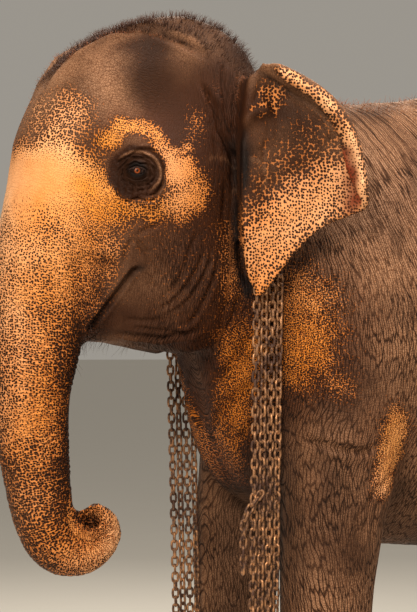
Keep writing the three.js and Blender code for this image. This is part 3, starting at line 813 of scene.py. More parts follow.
@dataclass(frozen=True)
class Fold:
    """One crease in the hide, pressed in along a path, with its two lips raised. Sizes are in millimetres.

    The path lies on the left side of the animal, and the right side has the same crease.
    """

    path: tuple[Point, ...]
    depth: float = 6
    width: float = 7
    lip: float = 0.35
    fade: float = 0.22
    ahead: bool = False

    def press(self, left: np.ndarray, facing: np.ndarray) -> tuple[np.ndarray, np.ndarray]:
        """How far the crease moves each point outwards.

        Args:
            left: points, all on the left side.
            facing: how far each of them faces ahead and out, which the folds of the thin ears need.

        Returns:
            The numbers of the points that it reaches, and their moves.
        """
        corners, depth, width = in_metres(self.path), self.depth / 1000, self.width / 1000
        near = (left > corners.min(0) - width * 5) & (left < corners.max(0) + width * 5)
        found = np.flatnonzero(near.all(axis=1))
        away, along = to_path(left[found], corners)
        ends = soft_step(0, self.fade, along) * soft_step(1, 1 - self.fade, along)
        valley = bell(away / width)
        lips = bell((away - 2.1 * width) / width)
        if self.ahead:
            ends = ends * soft_step(0.0, 0.5, facing[found])
        return found, ends * depth * (self.lip * lips - valley)


@dataclass(frozen=True)
class Swell:
    """A soft rise on both sides of the animal, in millimetres."""

    at: Point
    size: Point
    rise: float

    def press(self, left: np.ndarray) -> np.ndarray:
        """How far it moves each point outwards.

        Args:
            left: points, all on the left side.

        Returns:
            The moves.
        """
        away = (((left - in_metres(self.at)) / in_metres(self.size)) ** 2).sum(1)
        return self.rise / 1000 * np.exp(-away)


@dataclass(frozen=True)
class Bend:
    """A soft ridge in the sheet of the ears, or a trough where its rise is negative, in millimetres."""

    path: tuple[Point, ...]
    rise: float
    width: float

    def lift(self, left: np.ndarray) -> np.ndarray:
        """How far it moves each point forward.

        Args:
            left: points, all on the left side.

        Returns:
            The moves.
        """
        ahead = np.array(EAR_AHEAD)
        path = in_metres(self.path)
        flat = left - (left @ ahead)[:, None] * ahead
        away, along = to_path(flat, path - (path @ ahead)[:, None] * ahead)
        ends = soft_step(0, 0.1, along) * soft_step(1, 0.9, along)
        return self.rise / 1000 * ends * bell(away / (self.width / 1000))


@dataclass(frozen=True)
class Patch:
    """A patch of colour, soft at its edge, along a path in millimetres, alike on both sides."""

    path: tuple[Point, ...]
    reach: float
    level: float

    def cover(self, left: np.ndarray) -> np.ndarray:
        """How strongly it colours each point.

        Args:
            left: points, all on the left side.

        Returns:
            The strengths.
        """
        path, reach = in_metres(self.path), self.reach / 1000
        away = to_path(left, path)[0] if len(path) > 1 else np.linalg.norm(left - path[0], axis=1)
        return self.level * np.exp(-((away / reach) ** 2) * np.maximum(away / reach, 0.35))


MOUTH = ((-1103, -207, 1810), (-1123, -202, 1804), (-1140, -192, 1778), (-1158, -175, 1746),
         (-1176, -156, 1715), (-1194, -140, 1685), (-1207, -126, 1665), (-1216, -93, 1639), (-1225, 0, 1632))
DOME_EDGE = ((-1300, -55, 2400), (-1259, -60, 2445), (-1199, -73, 2471), (-1147, -77, 2494),
             (-1115, -130, 2501), (-1079, -151, 2504), (-1051, -175, 2497), (-1019, -202, 2486),
             (-983, -215, 2472), (-951, -228, 2455), (-923, -238, 2435), (-909, -250, 2411))
FACE_FOLDS = (
    Fold(MOUTH, 20, 7, 0.25, 0.05),
    Fold(DOME_EDGE, 11, 13, 0.55, 0.15),
    Fold(((-1134, -230, 1899), (-1115, -227, 1879), (-1093, -222, 1850), (-1077, -215, 1810)), 9),
    Fold(((-1134, -230, 1899), (-1148, -219, 1873), (-1154, -210, 1844), (-1153, -200, 1810)), 8),
    Fold(((-1134, -230, 1899), (-1097, -246, 1922), (-1058, -258, 1936)), 5),
    # arcs down the cheek to the corner of the mouth
    Fold(((-946, -273, 1926), (-974, -266, 1862), (-989, -256, 1804), (-1016, -231, 1746),
          (-1044, -208, 1717)), 8),
    Fold(((-925, -270, 1883), (-942, -265, 1819), (-974, -252, 1761), (-1012, -223, 1709),
          (-1051, -188, 1683)), 9),
    Fold(((-905, -268, 1889), (-910, -265, 1828), (-934, -261, 1773), (-965, -246, 1717),
          (-1007, -212, 1683), (-1051, -181, 1659)), 9),
    Fold(((-883, -262, 1849), (-892, -255, 1776), (-919, -249, 1717), (-943, -231, 1665),
          (-978, -203, 1630)), 9),
    Fold(((-1061, -233, 1847), (-1039, -235, 1810), (-1021, -236, 1775), (-1005, -236, 1746)), 6),
    Fold(((-1088, -208, 1804), (-1074, -205, 1770), (-1066, -202, 1746)), 6),
    # under the jaw
    Fold(((-1153, -111, 1624), (-1101, -122, 1612), (-1020, -157, 1606), (-948, -210, 1618),
          (-907, -220, 1641)), 14, 10),
    Fold(((-1109, -138, 1639), (-1052, -154, 1633), (-1003, -188, 1627), (-954, -207, 1615)), 7),
    Fold(((-1147, -141, 1665), (-1083, -154, 1656), (-1022, -197, 1659), (-969, -235, 1685)), 6),
    Fold(((-826, -172, 1599), (-816, -217, 1659), (-807, -240, 1718), (-798, -256, 1747)), 10),
    # creases before the ear
    Fold(((-938, -252, 2363), (-918, -258, 2325), (-894, -268, 2273), (-883, -272, 2212),
          (-850, -270, 2155), (-831, -264, 2109), (-813, -253, 2084)), 14, 8),
    Fold(((-861, -245, 2414), (-863, -263, 2339), (-863, -270, 2283), (-860, -271, 2242)), 10, 8),
    Fold(((-811, -240, 2396), (-809, -256, 2342), (-815, -263, 2285), (-830, -269, 2229),
          (-826, -267, 2179)), 11, 8),
    Fold(((-918, -257, 2328), (-910, -267, 2255), (-897, -274, 2182), (-893, -272, 2100)), 6),
    Fold(((-870, -268, 2080), (-862, -266, 2000), (-868, -264, 1930)), 5, 8),
)
EAR_GAP = ((-835, -268, 2170), (-822, -264, 2080), (-810, -262, 1990), (-809, -262, 1900),
           (-799, -262, 1820), (-781, -265, 1750))
EAR_SLIT = ((-822, -340, 2150), (-836, -338, 2110), (-850, -338, 2069), (-845, -320, 2021),
            (-825, -290, 1985), (-812, -263, 1928), (-808, -262, 1879), (-801, -262, 1829),
            (-791, -261, 1776), (-782, -263, 1741))
EAR_AHEAD = (-0.447, -0.894, 0.0)
EAR_FRONT = ((-846, -350, 2200), (-840, -350, 2120), (-842, -350, 2040))
EAR_RIM = ((-791, -380, 2392), (-759, -431, 2362), (-714, -455, 2333), (-668, -478, 2301),
           (-632, -496, 2264), (-594, -515, 2212), (-573, -526, 2155), (-560, -532, 2098),
           (-549, -529, 2032), (-532, -520, 1991))
EAR_GROOVE = ((-785, -355, 2377), (-748, -371, 2345), (-712, -390, 2316), (-658, -440, 2273),
              (-622, -475, 2219), (-592, -505, 2155), (-573, -518, 2109), (-565, -520, 2052),
              (-560, -515, 2005))
EAR_BENDS = (
    # the rolled rim, the groove inside it, the flap before the ear, its front edge, and its soft waves
    Bend(EAR_RIM, 24, 17),
    Bend(EAR_GROOVE, -14, 11),
    Bend(((-843, -355, 2215), (-833, -359, 2245), (-809, -362, 2259), (-785, -364, 2262),
          (-760, -367, 2273)), 26, 17),
    Bend(((-848, -357, 2200), (-852, -357, 2100), (-852, -357, 1980), (-835, -357, 1860)), 12, 12),
    Bend(((-804, -366, 2000), (-755, -378, 2041), (-686, -401, 2088), (-623, -437, 2113)), -18, 34),
    Bend(((-792, -368, 2170), (-770, -375, 2107), (-775, -375, 2035)), -14, 26),
    Bend(((-724, -382, 2261), (-666, -413, 2232), (-617, -444, 2180)), 14, 45),
    Bend(((-790, -365, 1880), (-730, -385, 1960), (-650, -420, 2020)), 12, 30),
)
EAR_FOLDS = (
    Fold(EAR_GROOVE, 3, 6, 0.2, 0.1, True),
    Fold(((-789, -354, 2360), (-811, -361, 2294), (-836, -358, 2259)), 6, 8, 0.3, 0.2, True),
    Fold(((-770, -366, 2230), (-782, -366, 2160), (-786, -366, 2090)), 5, 7, 0.4, 0.2, True),
)
BODY_FOLDS = (
    Fold(((-761, -259, 1629), (-778, -239, 1597), (-798, -200, 1540), (-815, -146, 1500),
          (-826, -100, 1484)), 15, 12),
    Fold(((-750, -250, 1491), (-768, -220, 1458), (-790, -183, 1430), (-804, -123, 1395), (-801, -68, 1356),
          (-788, -25, 1330)), 16, 13),
    Fold(((-752, -226, 1363), (-765, -201, 1327), (-768, -172, 1295)), 11, 11),
    Fold(((-663, -359, 1318), (-636, -417, 1303), (-599, -453, 1290), (-575, -470, 1284),
          (-519, -486, 1278), (-457, -482, 1302)), 10, 10),
    Fold(((-406, -457, 1226), (-456, -480, 1165), (-470, -481, 1122), (-483, -482, 1080),
          (-490, -481, 1036), (-480, -476, 992)), 11, 10),
    Fold(((-453, -481, 1200), (-496, -487, 1138), (-502, -486, 1095), (-520, -488, 1053),
          (-522, -486, 1009)), 11, 10),
    Fold(((-522, -491, 1125), (-540, -489, 1083), (-544, -489, 1040), (-529, -488, 1001)), 9, 10),
)
SWELLS = (
    Swell((-1123, -262, 2000), (75, 80, 30), 6),
    Swell((-1224, -120, 1670), (50, 90, 50), 10),
    Swell((-1100, -130, 2430), (130, 70, 70), 12),
)
CHEEK = ((-1008, -240, 1850), (-939, -240, 1720), (-1028, -190, 1640))
TEMPLE = ((-908, -268, 2250), (-888, -270, 2100), (-868, -262, 1950))
BROW = ((-1218, -213, 2176), (-1162, -245, 2213), (-1093, -251, 2209))
PALE_PATCHES = (
    Patch(((-1361, -147, 2072), (-1408, 0, 2060)), 105, 0.97),
    Patch(((-1265, -178, 2075),), 75, 0.35),
    Patch(((-1339, -130, 1960), (-1371, -120, 1750), (-1381, -110, 1430)), 150, 0.52),
    Patch(((-1371, -100, 1300), (-1371, -95, 1227), (-1308, -80, 1000), (-1208, -60, 960)), 150, 0.38),
    Patch(((-1238, -185, 1930), (-1263, -160, 1760)), 90, 0.40),
    Patch(((-1200, -80, 1020), (-1160, -60, 1030)), 85, 0.74),
    Patch(((-1008, -240, 1850), (-939, -240, 1720)), 150, 0.09),
    Patch(((-1304, -161, 2250), (-1343, -80, 2250)), 85, 0.36),
    Patch((*BROW, (-1060, -280, 2150), (-1038, -288, 2080)), 31, 0.60),
    Patch(((-1010, -291, 2072), (-978, -288, 2036)), 64, 0.60),
    Patch(((-989, -279, 2150), (-991, -285, 2090)), 18, 0.55),
    Patch(((-1244, -183, 2050), (-1183, -225, 1985), (-1099, -262, 1968), (-1008, -280, 1985)), 42, 0.42),
    Patch(((-845, -253, 1920), (-838, -253, 1849), (-822, -232, 1740)), 45, 0.20),
    Patch(((-964, -266, 2195), (-953, -256, 2240)), 35, 0.25),
    Patch(((-810, -360, 1761), (-789, -362, 1830), (-714, -394, 1935), (-611, -446, 2021),
           (-569, -518, 2060)), 98, 0.52),
    Patch(((-800, -362, 1960), (-740, -380, 2060), (-640, -420, 2150)), 125, 0.20),
    Patch(EAR_RIM[1:], 30, 0.72),
    Patch(((-742, -372, 2311), (-778, -360, 2325)), 35, 0.40),
    Patch(((-809, -362, 2259), (-766, -367, 2273)), 20, 0.45),
    Patch(((-648, -345, 1700), (-648, -345, 1560)), 125, 0.42),
    Patch(((-778, -210, 1560), (-772, -200, 1470), (-768, -110, 1320), (-749, -60, 1220)), 95, 0.42),
    Patch(((-401, -462, 1340), (-414, -466, 1265), (-439, -474, 1190)), 62, 0.70),
    Patch(((-568, -455, 1457),), 50, 0.25),
    Patch(((-358, -500, 1750), (291, -600, 1600), (892, -500, 1500)), 550, 0.05),
)
DARK_AND_SHADE_PATCHES = (
    Patch(((-1133, -262, 2085),), 95, 0.75),
    Patch(((-1070, -180, 2430), (-1070, -215, 2354), (-1047, -216, 2298), (-1010, -232, 2239),
           (-1000, -264, 2178)), 115, 0.95),
    Patch(((-1381, -110, 1520), (-1371, -95, 1227), (-1308, -80, 1000)), 170, 0.55),
    Patch(((-1339, -130, 1850), (-1371, -120, 1700)), 130, 0.20),
    Patch(((-745, -380, 2250), (-690, -400, 2200)), 90, 0.35),
    Patch(TEMPLE, 160, 0.95),
    Patch(((-870, -250, 2380), (-850, -262, 2300)), 120, 0.85),
    Patch(CHEEK, 170, 0.62),
    Patch(((-1150, -140, 1665), (-1050, -160, 1630)), 70, 0.60),
    Patch(((-828, -250, 1650), (-808, -150, 1450), (-768, -50, 1250)), 200, 0.90),
    Patch(((-660, -340, 1720), (-640, -360, 1500)), 170, 0.55),
    # painted shade in the ear's trough
    Patch(((-804, -366, 2000), (-755, -378, 2041), (-686, -401, 2088)), 50, 0.30),
    # painted shade on the forelegs
    Patch(((-648, -300, 1400), (-608, -380, 1200), (-608, -360, 900)), 220, 0.35),
    # painted shade in the hollow of the ear
    Patch(((-708, -395, 2200), (-728, -385, 2050)), 100, 0.25),
)
BLUSH_PATCHES = (
    Patch(((-406, -465, 1352), (-416, -465, 1280), (-443, -476, 1208), (-472, -481, 1137)), 50, 0.12),
    Patch(((-596, -500, 2130), (-586, -505, 2084), (-576, -505, 2030), (-558, -500, 1998)), 33, 1.0),
    Patch(((-787, 70, 1312), (-751, 15, 1229), (-727, -110, 1164)), 60, 0.35),
    Patch(((-1200, -70, 1040),), 75, 0.12),
)
WARM_PATCHES = (
    Patch(((-1290, -160, 2050), (-1330, -140, 1700), (-1320, -90, 1100)), 150, 0.60),
    Patch(BROW, 70, 0.9),
    Patch(((-1226, -183, 2034), (-1174, -229, 1981), (-1099, -262, 1970)), 70, 0.95),
    Patch(((-778, -210, 1600), (-772, -150, 1400), (-648, -345, 1630)), 200, 1.0),
    Patch(((-414, -466, 1300),), 120, 0.8),
    Patch(((-1208, -68, 1014),), 60, 0.3),
    Patch(CHEEK, 170, 0.28),
    Patch(TEMPLE, 160, 0.55),
)


def behind_dome(points: np.ndarray) -> np.ndarray:
    """How far points lie behind the upper edge of the brow, towards the middle of the crown, in metres."""
    edge = in_metres(DOME_EDGE)
    return np.interp(points[:, 0], edge[:, 0], -edge[:, 1]) - np.abs(points[:, 1])


@dataclass(frozen=True)
class TrunkLine:
    """The middle of the trunk, from between the eyes to its tip, with its half-thickness there."""

    stations: tuple[tuple[float, float, float, float], ...] = (
        (-1195, 0, 2300, 200), (-1226, 0, 2180, 190), (-1252, 0, 2060, 172), (-1299, 0, 1945, 166),
        (-1322, 0, 1830, 152), (-1334, 0, 1710, 141), (-1350, 0, 1580, 131), (-1366, 0, 1450, 119),
        (-1360, 0, 1320, 109), (-1345, 0, 1200, 100), (-1328, 0, 1095, 92), (-1298, 0, 1004, 83),
        (-1234, 0, 966, 75), (-1174, -4, 984, 69), (-1142, -14, 1032, 64), (-1166, -32, 1072, 56),
        (-1200, -46, 1088, 42),
    )
    tip_at: Point = (-1.208, -0.072, 1.082)
    tip_way: Point = (-0.42, -0.76, 0.50)

    def read(self, points: np.ndarray) -> tuple[np.ndarray, np.ndarray, np.ndarray, np.ndarray]:
        """Where points are along and round the trunk.

        Args:
            points: one row each.

        Returns:
            How far along it they are in metres, how much they belong to it from 0 to 1, how far to its front
            they face, from -1 to 1, and how far round it they are from its front line, in metres.
        """
        line = in_metres(self.stations)
        middle, thick = line[:, :3], line[:, 3]
        fine = np.linspace(0, len(line) - 1, 12 * len(line))
        middle = np.stack([np.interp(fine, range(len(line)), middle[:, k]) for k in range(3)], 1)
        thick = np.interp(fine, range(len(line)), thick)
        run = np.concatenate([[0], np.cumsum(np.linalg.norm(np.diff(middle, axis=0), axis=1))])
        along, belong = np.full(len(points), 0.0), np.zeros(len(points))
        front, turn = np.zeros(len(points)), np.zeros(len(points))
        near = np.flatnonzero(points[:, 0] < -1.0)
        tangent = unit(np.gradient(middle, axis=0))
        for start in range(0, len(near), 20000):
            some = near[start : start + 20000]
            off = points[some][:, None, :] - middle[None]
            away = np.linalg.norm(off, axis=2)
            best = away.argmin(1)
            row = np.arange(len(some))
            gap = off[row, best]
            along[some] = run[best] + (gap * tangent[best]).sum(1)
            belong[some] = soft_step(1.7, 1.15, away[row, best] / thick[best])
            ahead = np.stack([tangent[best][:, 2], np.zeros(len(some)), -tangent[best][:, 0]], 1)
            level = (gap * ahead).sum(1)
            front[some] = level / np.maximum(away[row, best], 1e-6)
            turn[some] = np.arctan2(gap[:, 1], level) * away[row, best]
        return along, belong, front, turn


@dataclass(frozen=True)
class Grain:
    """Which way the cracks of the hide run on the animal's side.

    Each stroke is a place by X and Z in millimetres and the cracks' lean there in degrees: 0 is upright,
    above 0 leans its top towards the head, below 0 towards the tail, and 90 is level.
    """

    strokes: tuple[Point, ...] = (
        (-318, 2280, 42), (-324, 2155, 36), (-295, 2077, 34), (-372, 1909, 38), (-442, 1835, 26),
        (-350, 1817, 34), (-339, 1671, 28), (-510, 1927, 0), (-477, 1927, 12), (-532, 1761, 0),
        (-555, 1683, 0), (-454, 1688, 5), (-534, 1598, -6), (-553, 1546, -10), (-376, 1492, 0),
        (-425, 1292, -16), (-566, 1284, -10), (-604, 1457, -8), (-658, 1337, -14), (-472, 1135, -12),
        (-566, 1138, 0), (-623, 1012, 10), (-573, 977, 10), (-610, 886, 14), (-536, 866, 12),
        (-491, 1008, -2), (-653, 905, 14), (-640, 1630, 0), (-760, 1500, -6), (-760, 1250, 6),
        (200, 1900, 35), (600, 1900, 25), (0, 1500, 15), (500, 1400, 5), (200, 1050, -5), (1100, 2000, 40),
        (1200, 1600, -10), (1000, 1400, 0), (1050, 800, 8), (1100, 400, 12), (-600, 600, 14),
        (-600, 400, 10), (-600, 150, 6), (-896, 1889, -3), (-925, 1773, -26), (-1000, 1683, -45),
        (-1050, 1640, -60), (-1000, 1620, -60), (-850, 1650, -35), (-850, 2200, 0), (-950, 2200, 0),
        (-980, 2050, 0),
    )
    step: float = 0.025
    low: tuple[float, float] = (-1.6, -0.1)
    high: tuple[float, float] = (1.6, 2.75)

    def field_of(self, ways: tuple[np.ndarray, np.ndarray]) -> np.ndarray:
        """The surface over X and Z whose slope is as near as can be to the one that is asked for.

        Args:
            ways: the slope along X and along Z at each place of the grid.

        Returns:
            The surface's height at each place of the grid.
        """
        doubled = []
        for slope, axis in zip(ways, (0, 1)):
            both = np.concatenate([slope, np.flip(slope, 0) * (-1 if axis == 0 else 1)], 0)
            doubled.append(np.concatenate([both, np.flip(both, 1) * (-1 if axis == 1 else 1)], 1))
        rows, columns = doubled[0].shape
        kx = 2 * math.pi * np.fft.fftfreq(rows, self.step)[:, None]
        kz = 2 * math.pi * np.fft.fftfreq(columns, self.step)[None, :]
        square = kx**2 + kz**2
        square[0, 0] = 1.0
        spectrum = (-1j * kx * np.fft.fft2(doubled[0]) - 1j * kz * np.fft.fft2(doubled[1])) / square
        spectrum[0, 0] = 0.0
        return np.real(np.fft.ifft2(spectrum))[: rows // 2, : columns // 2]

    def read(self, points: np.ndarray) -> tuple[np.ndarray, np.ndarray]:
        """Where points are across and along the cracks.

        Args:
            points: one row each.

        Returns:
            How far across the cracks and how far along them each point is, in metres.
        """
        xs = np.arange(self.low[0], self.high[0], self.step)
        zs = np.arange(self.low[1], self.high[1], self.step)
        grid_x, grid_z = np.meshgrid(xs, zs, indexing="ij")
        across, along = np.zeros(grid_x.shape), np.zeros(grid_x.shape)
        for x, z, lean in self.strokes:
            near = 1 / (((grid_x - x / 1000) ** 2 + (grid_z - z / 1000) ** 2) + 0.003) ** 1.5
            across += near * math.cos(math.radians(lean))
            along += near * math.sin(math.radians(lean))
        size = np.hypot(across, along) + 1e-9
        across, along = across / size, along / size
        fields = self.field_of((across, along)), self.field_of((-along, across))
        where_x = np.clip((points[:, 0] - self.low[0]) / self.step, 0, len(xs) - 1.001)
        where_z = np.clip((points[:, 2] - self.low[1]) / self.step, 0, len(zs) - 1.001)
        i, j = where_x.astype(int), where_z.astype(int)
        s, t = where_x - i, where_z - j
        wide = 0.8 * np.sqrt(points[:, 1] ** 2 + 0.0016)
        ends = soft_step(-0.60, -0.80, points[:, 0]) - soft_step(1.05, 1.30, points[:, 0])
        found = []
        for surface, bulge in zip(fields, ((wide - 0.33) * ends, wide)):
            value = surface[i, j] * (1 - s) * (1 - t) + surface[i + 1, j] * s * (1 - t)
            found.append(value + surface[i, j + 1] * (1 - s) * t + surface[i + 1, j + 1] * s * t + bulge)
        return found[0], found[1]


@dataclass
class Skin:
    """The whole hide, from the trunk's tip to the tail, in one closed mesh without a seam."""

    body_voxel: float = 0.030
    head_voxel: float = 0.014
    last_voxel: float = 0.007
    face_limit: int = 192000
    fine_reach: float = 0.07
    trunk: TrunkLine = field(default_factory=TrunkLine)
    grain: Grain = field(default_factory=Grain)
    body_nodes: tuple[str, ...] = (
        "neck", "torso", "tail", "foreleg_left", "foreleg_right", "hindleg_left", "hindleg_right",
        "forefoot_left", "forefoot_right", "hindfoot_left", "hindfoot_right",
    )
    head_nodes: tuple[str, ...] = (
        "head", "lower_jaw", "neck", "trunk_root", "trunk_upper", "trunk_lower", "trunk_tip", "tail",
        "eye_left", "eye_right",
    )

    def rough_part(self, name: str, nodes: Sequence[str], voxel: float,
                   extra: Sequence[Piece] = ()) -> Piece:
        """Fuses solids into one smooth closed form.

        Args:
            name: the form's name.
            nodes: the solids.
            voxel: how fine it is, in metres.
            extra: other closed pieces that are fused in.

        Returns:
            The form.
        """
        part = joined(name, [copy_nodes(name, nodes), *extra])
        apply_modifier(part, "REMESH", mode="VOXEL", voxel_size=voxel)
        apply_modifier(part, "LAPLACIANSMOOTH", lambda_factor=2.0, iterations=2, use_volume_preserve=True)
        return part

    def ear(self, side: Side) -> Piece:
        """One ear, rounded, with its root pushed into the head.

        Args:
            side: which ear.

        Returns:
            The ear.
        """
        ear = copy_nodes("ear_part", [side.node("ear")])
        with editing(ear):
            bpy.ops.mesh.tris_convert_to_quads()
        apply_modifier(ear, "SUBSURF", levels=2, render_levels=2)
        points = points_of(ear)
        reach = np.abs(points[:, 1])
        points[:, 1] -= side.value * 0.05 * soft_step(0.335, 0.285, reach)
        points += 0.0035 * normals_of(ear)
        left = mirrored(points)
        lift = sum(bend.lift(left) for bend in EAR_BENDS)
        points += lift[:, None] * np.array([EAR_AHEAD[0], -side.value * EAR_AHEAD[1], 0.0])
        move_points(ear, points)
        return ear

    def tip_plug(self) -> Piece:
        """A ball that fills the hollow of the trunk's tip, which is carved anew later."""
        at = Vector(self.trunk.tip_at) - 0.034 * Vector(self.trunk.tip_way).normalized()
        return formed(bpy.ops.mesh.primitive_uv_sphere_add, segments=24, ring_count=16, radius=0.044,
                      location=at)

    def lip_corner(self, side: Side) -> Piece:
        """Muscle that fills the corner between the trunk's root and the cheek."""
        return formed(bpy.ops.mesh.primitive_uv_sphere_add, segments=24, ring_count=16, radius=1.0,
                      scale=(0.066, 0.070, 0.125), location=(-1.214, side.value * 0.088, 1.805))

    def keep_outside(self, piece: Piece) -> None:
        """Removes closed scraps inside the form, and keeps its outer surface.

        Args:
            piece: the form.
        """
        with editing(piece):
            bpy.ops.mesh.separate(type="LOOSE")
        scraps = [o for o in bpy.context.selected_objects if o.type == "MESH"]
        scraps.sort(key=lambda o: len(o.data.vertices))
        mesh = scraps[-1].data
        if scraps[-1] != piece:
            piece.data, scraps[-1].data = mesh, piece.data
        for scrap in scraps:
            if scrap != piece:
                bpy.data.objects.remove(scrap)

    def finer(self, piece: Piece, places: Sequence[tuple[Vector, float]]) -> None:
        """Splits the faces near some places, where small forms come.

        Args:
            piece: the skin.
            places: middle and radius of each area.
        """
        points = points_of(piece)
        wanted = np.zeros(len(points), bool)
        for at, radius in places:
            wanted |= np.linalg.norm(points - np.array(at), axis=1) < radius
        choose(piece)
        bpy.ops.object.mode_set(mode="EDIT")
        bpy.ops.mesh.select_all(action="DESELECT")
        bpy.ops.object.mode_set(mode="OBJECT")
        piece.data.vertices.foreach_set("select", wanted)
        starts = np.empty(len(piece.data.loops), np.int32)
        piece.data.loops.foreach_get("vertex_index", starts)
        first = np.empty(len(piece.data.polygons), np.int32)
        piece.data.polygons.foreach_get("loop_start", first)
        inside = np.logical_and.reduceat(wanted[starts], first)
        piece.data.polygons.foreach_set("select", inside)
        bpy.ops.object.mode_set(mode="EDIT")
        bpy.ops.mesh.select_mode(type="FACE")
        bpy.ops.mesh.subdivide(number_cuts=1, smoothness=0.0)
        bpy.ops.mesh.select_mode(type="VERT")
        bpy.ops.object.mode_set(mode="OBJECT")

    def lids(self, points: np.ndarray, side: Side) -> np.ndarray:
        """Raises the lids over the eyeball, opens them, and lays the folds round them.

        Args:
            points: the skin's points.
            side: which eye.

        Returns:
            The points with the eye shaped.
        """
        middle, back, up, out = eye_frame(side)
        near = np.flatnonzero(np.linalg.norm(points - middle, axis=1) < 0.19)
        local = points[near] - middle
        u, v, w = local @ back, local @ up, local @ out
        facing = soft_step(-0.045, -0.015, w)
        ball, cover = 0.0245, 0.0045
        round_eye = np.hypot(u, v)
        core = round_eye < 0.012
        rest = w[core].mean() if core.any() else 0.0
        lift = (ball + cover - rest) * bell(round_eye / 0.048)
        w = w + facing * lift
        # the whole socket lies a little deep, the brow stands over it
        deep = bell(np.hypot(u / 1.1, v + 0.002) / 0.052, 4)
        w = w - facing * 0.007 * deep * soft_step(0.018, 0.034, round_eye)
        w = w + facing * 0.006 * bell(np.hypot(u - 0.01, v - 0.088) / 0.034)
        # almond opening: its corners are pointed and its upper edge is flatter
        tilt = math.radians(-8)
        ua, va = u * math.cos(tilt) + v * math.sin(tilt), v * math.cos(tilt) - u * math.sin(tilt)
        half, top, bottom = 0.0225, 0.0088, 0.0090
        edge = np.sqrt(np.clip(1 - (ua / half) ** 2, 0, 1))
        tall = np.where(va > 0, top, bottom) * edge
        inside = tall - np.abs(va)
        inside = np.where(np.abs(ua) < half, inside, -np.hypot(np.abs(ua) - half, va))
        surface = np.sqrt(np.clip(ball**2 - u**2 - v**2, 0, None))
        lid = np.sqrt(np.clip((ball + cover) ** 2 - u**2 - v**2, 0, None))
        hug = bell(np.clip(-inside, 0, None) / 0.008) * (round_eye < ball + cover)
        w = w + facing * hug * (lid - w) * 0.9
        open_share = soft_step(-0.0012, 0.0022, inside)
        w = w * (1 - open_share) + open_share * np.minimum(surface - 0.010, w)
        # folds that run round the eye: half across, half high, half width, depth, first and last angle
        folds = (
            (0.031, 0.018, 0.0022, 0.0060, -10, 190),
            (0.041, 0.028, 0.0030, 0.0085, -25, 200),
            (0.033, 0.021, 0.0024, 0.0050, 185, 350),
            (0.052, 0.042, 0.0036, 0.0085, -60, 185),
            (0.046, 0.036, 0.0032, 0.0035, 175, 300),
            (0.062, 0.054, 0.0040, 0.0100, -75, 165),
            (0.078, 0.070, 0.0046, 0.0100, -85, 110),
            (0.058, 0.050, 0.0036, 0.0030, 220, 340),
            (0.070, 0.066, 0.0042, 0.0035, 190, 290),
            (0.083, 0.080, 0.0055, 0.0110, 195, 345),
        )
        angle = np.degrees(np.arctan2(v + 0.004, u))
        for across, high, wide, deep, first, last in folds:
            turn = (angle - first) % 360
            span = last - first
            mask = soft_step(0, 25, turn) * soft_step(span, span - 25, turn)
            wobble = 1 + 0.09 * ripple(angle / 75, int(across * 1e4))
            oval = np.hypot(u / across, (v + 0.004) / high) / wobble
            away = (oval - 1) * (across + high) / 2
            w = w + facing * mask * deep * (0.5 * bell((away - 1.9 * wide) / wide) - bell(away / wide))
        # crumpled hide inside the socket
        inner = soft_step(0.030, 0.040, round_eye) * soft_step(0.085, 0.070, round_eye)
        crumple = cloud_at(np.stack([u, v, 0 * u], 1), 0.014, 31)
        below = 1 + 1.2 * soft_step(-0.015, -0.035, v)
        w = w + facing * inner * below * 0.0013 * np.clip(crumple, -1.5, 1.0)
        moved = points.copy()
        moved[near] = middle + u[:, None] * back + v[:, None] * up + w[:, None] * out
        return moved

    def carve_tip(self, points: np.ndarray) -> np.ndarray:
        """Hollows the trunk's tip, with its thick rim, the ridges inside and the two nostrils.

        Args:
            points: the skin's points.

        Returns:
            The points with the tip shaped.
        """
        way, middle = unit(np.array(self.trunk.tip_way)), np.array(self.trunk.tip_at)
        across = unit(np.cross(way, UP))
        high = np.cross(across, way)
        near = np.flatnonzero(np.linalg.norm(points - middle, axis=1) < 0.10)
        local = points[near] - middle
        u, v, w = local @ across, local @ high, local @ way
        outer = soft_step(-0.048, -0.018, w)
        cup = 0.037
        away = np.hypot(u / 1.12, v)
        turn = np.arctan2(v, u)
        folds = np.cos(13 * turn + 1.4 * np.sin(2 * turn + 1))
        share = soft_step(1.10, 0.86, away / cup + 0.035 * folds)
        depth = 0.052 * (1 - soft_step(0.35, 1.02, away / cup))
        depth = depth + 0.003 * folds * soft_step(0.2, 0.6, away / cup)
        for shift in (-0.0105, 0.0105):
            depth = depth + 0.020 * bell(np.hypot(u - shift, v) / 0.0068)
        w = w + outer * share * (np.minimum(w, 0.002) - depth - w)
        rim = bell((away - 1.22 * cup) / 0.010)
        w = w + outer * rim * (0.006 + 0.0018 * folds)
        moved = points.copy()
        moved[near] = middle + u[:, None] * across + v[:, None] * high + w[:, None] * way
        return moved

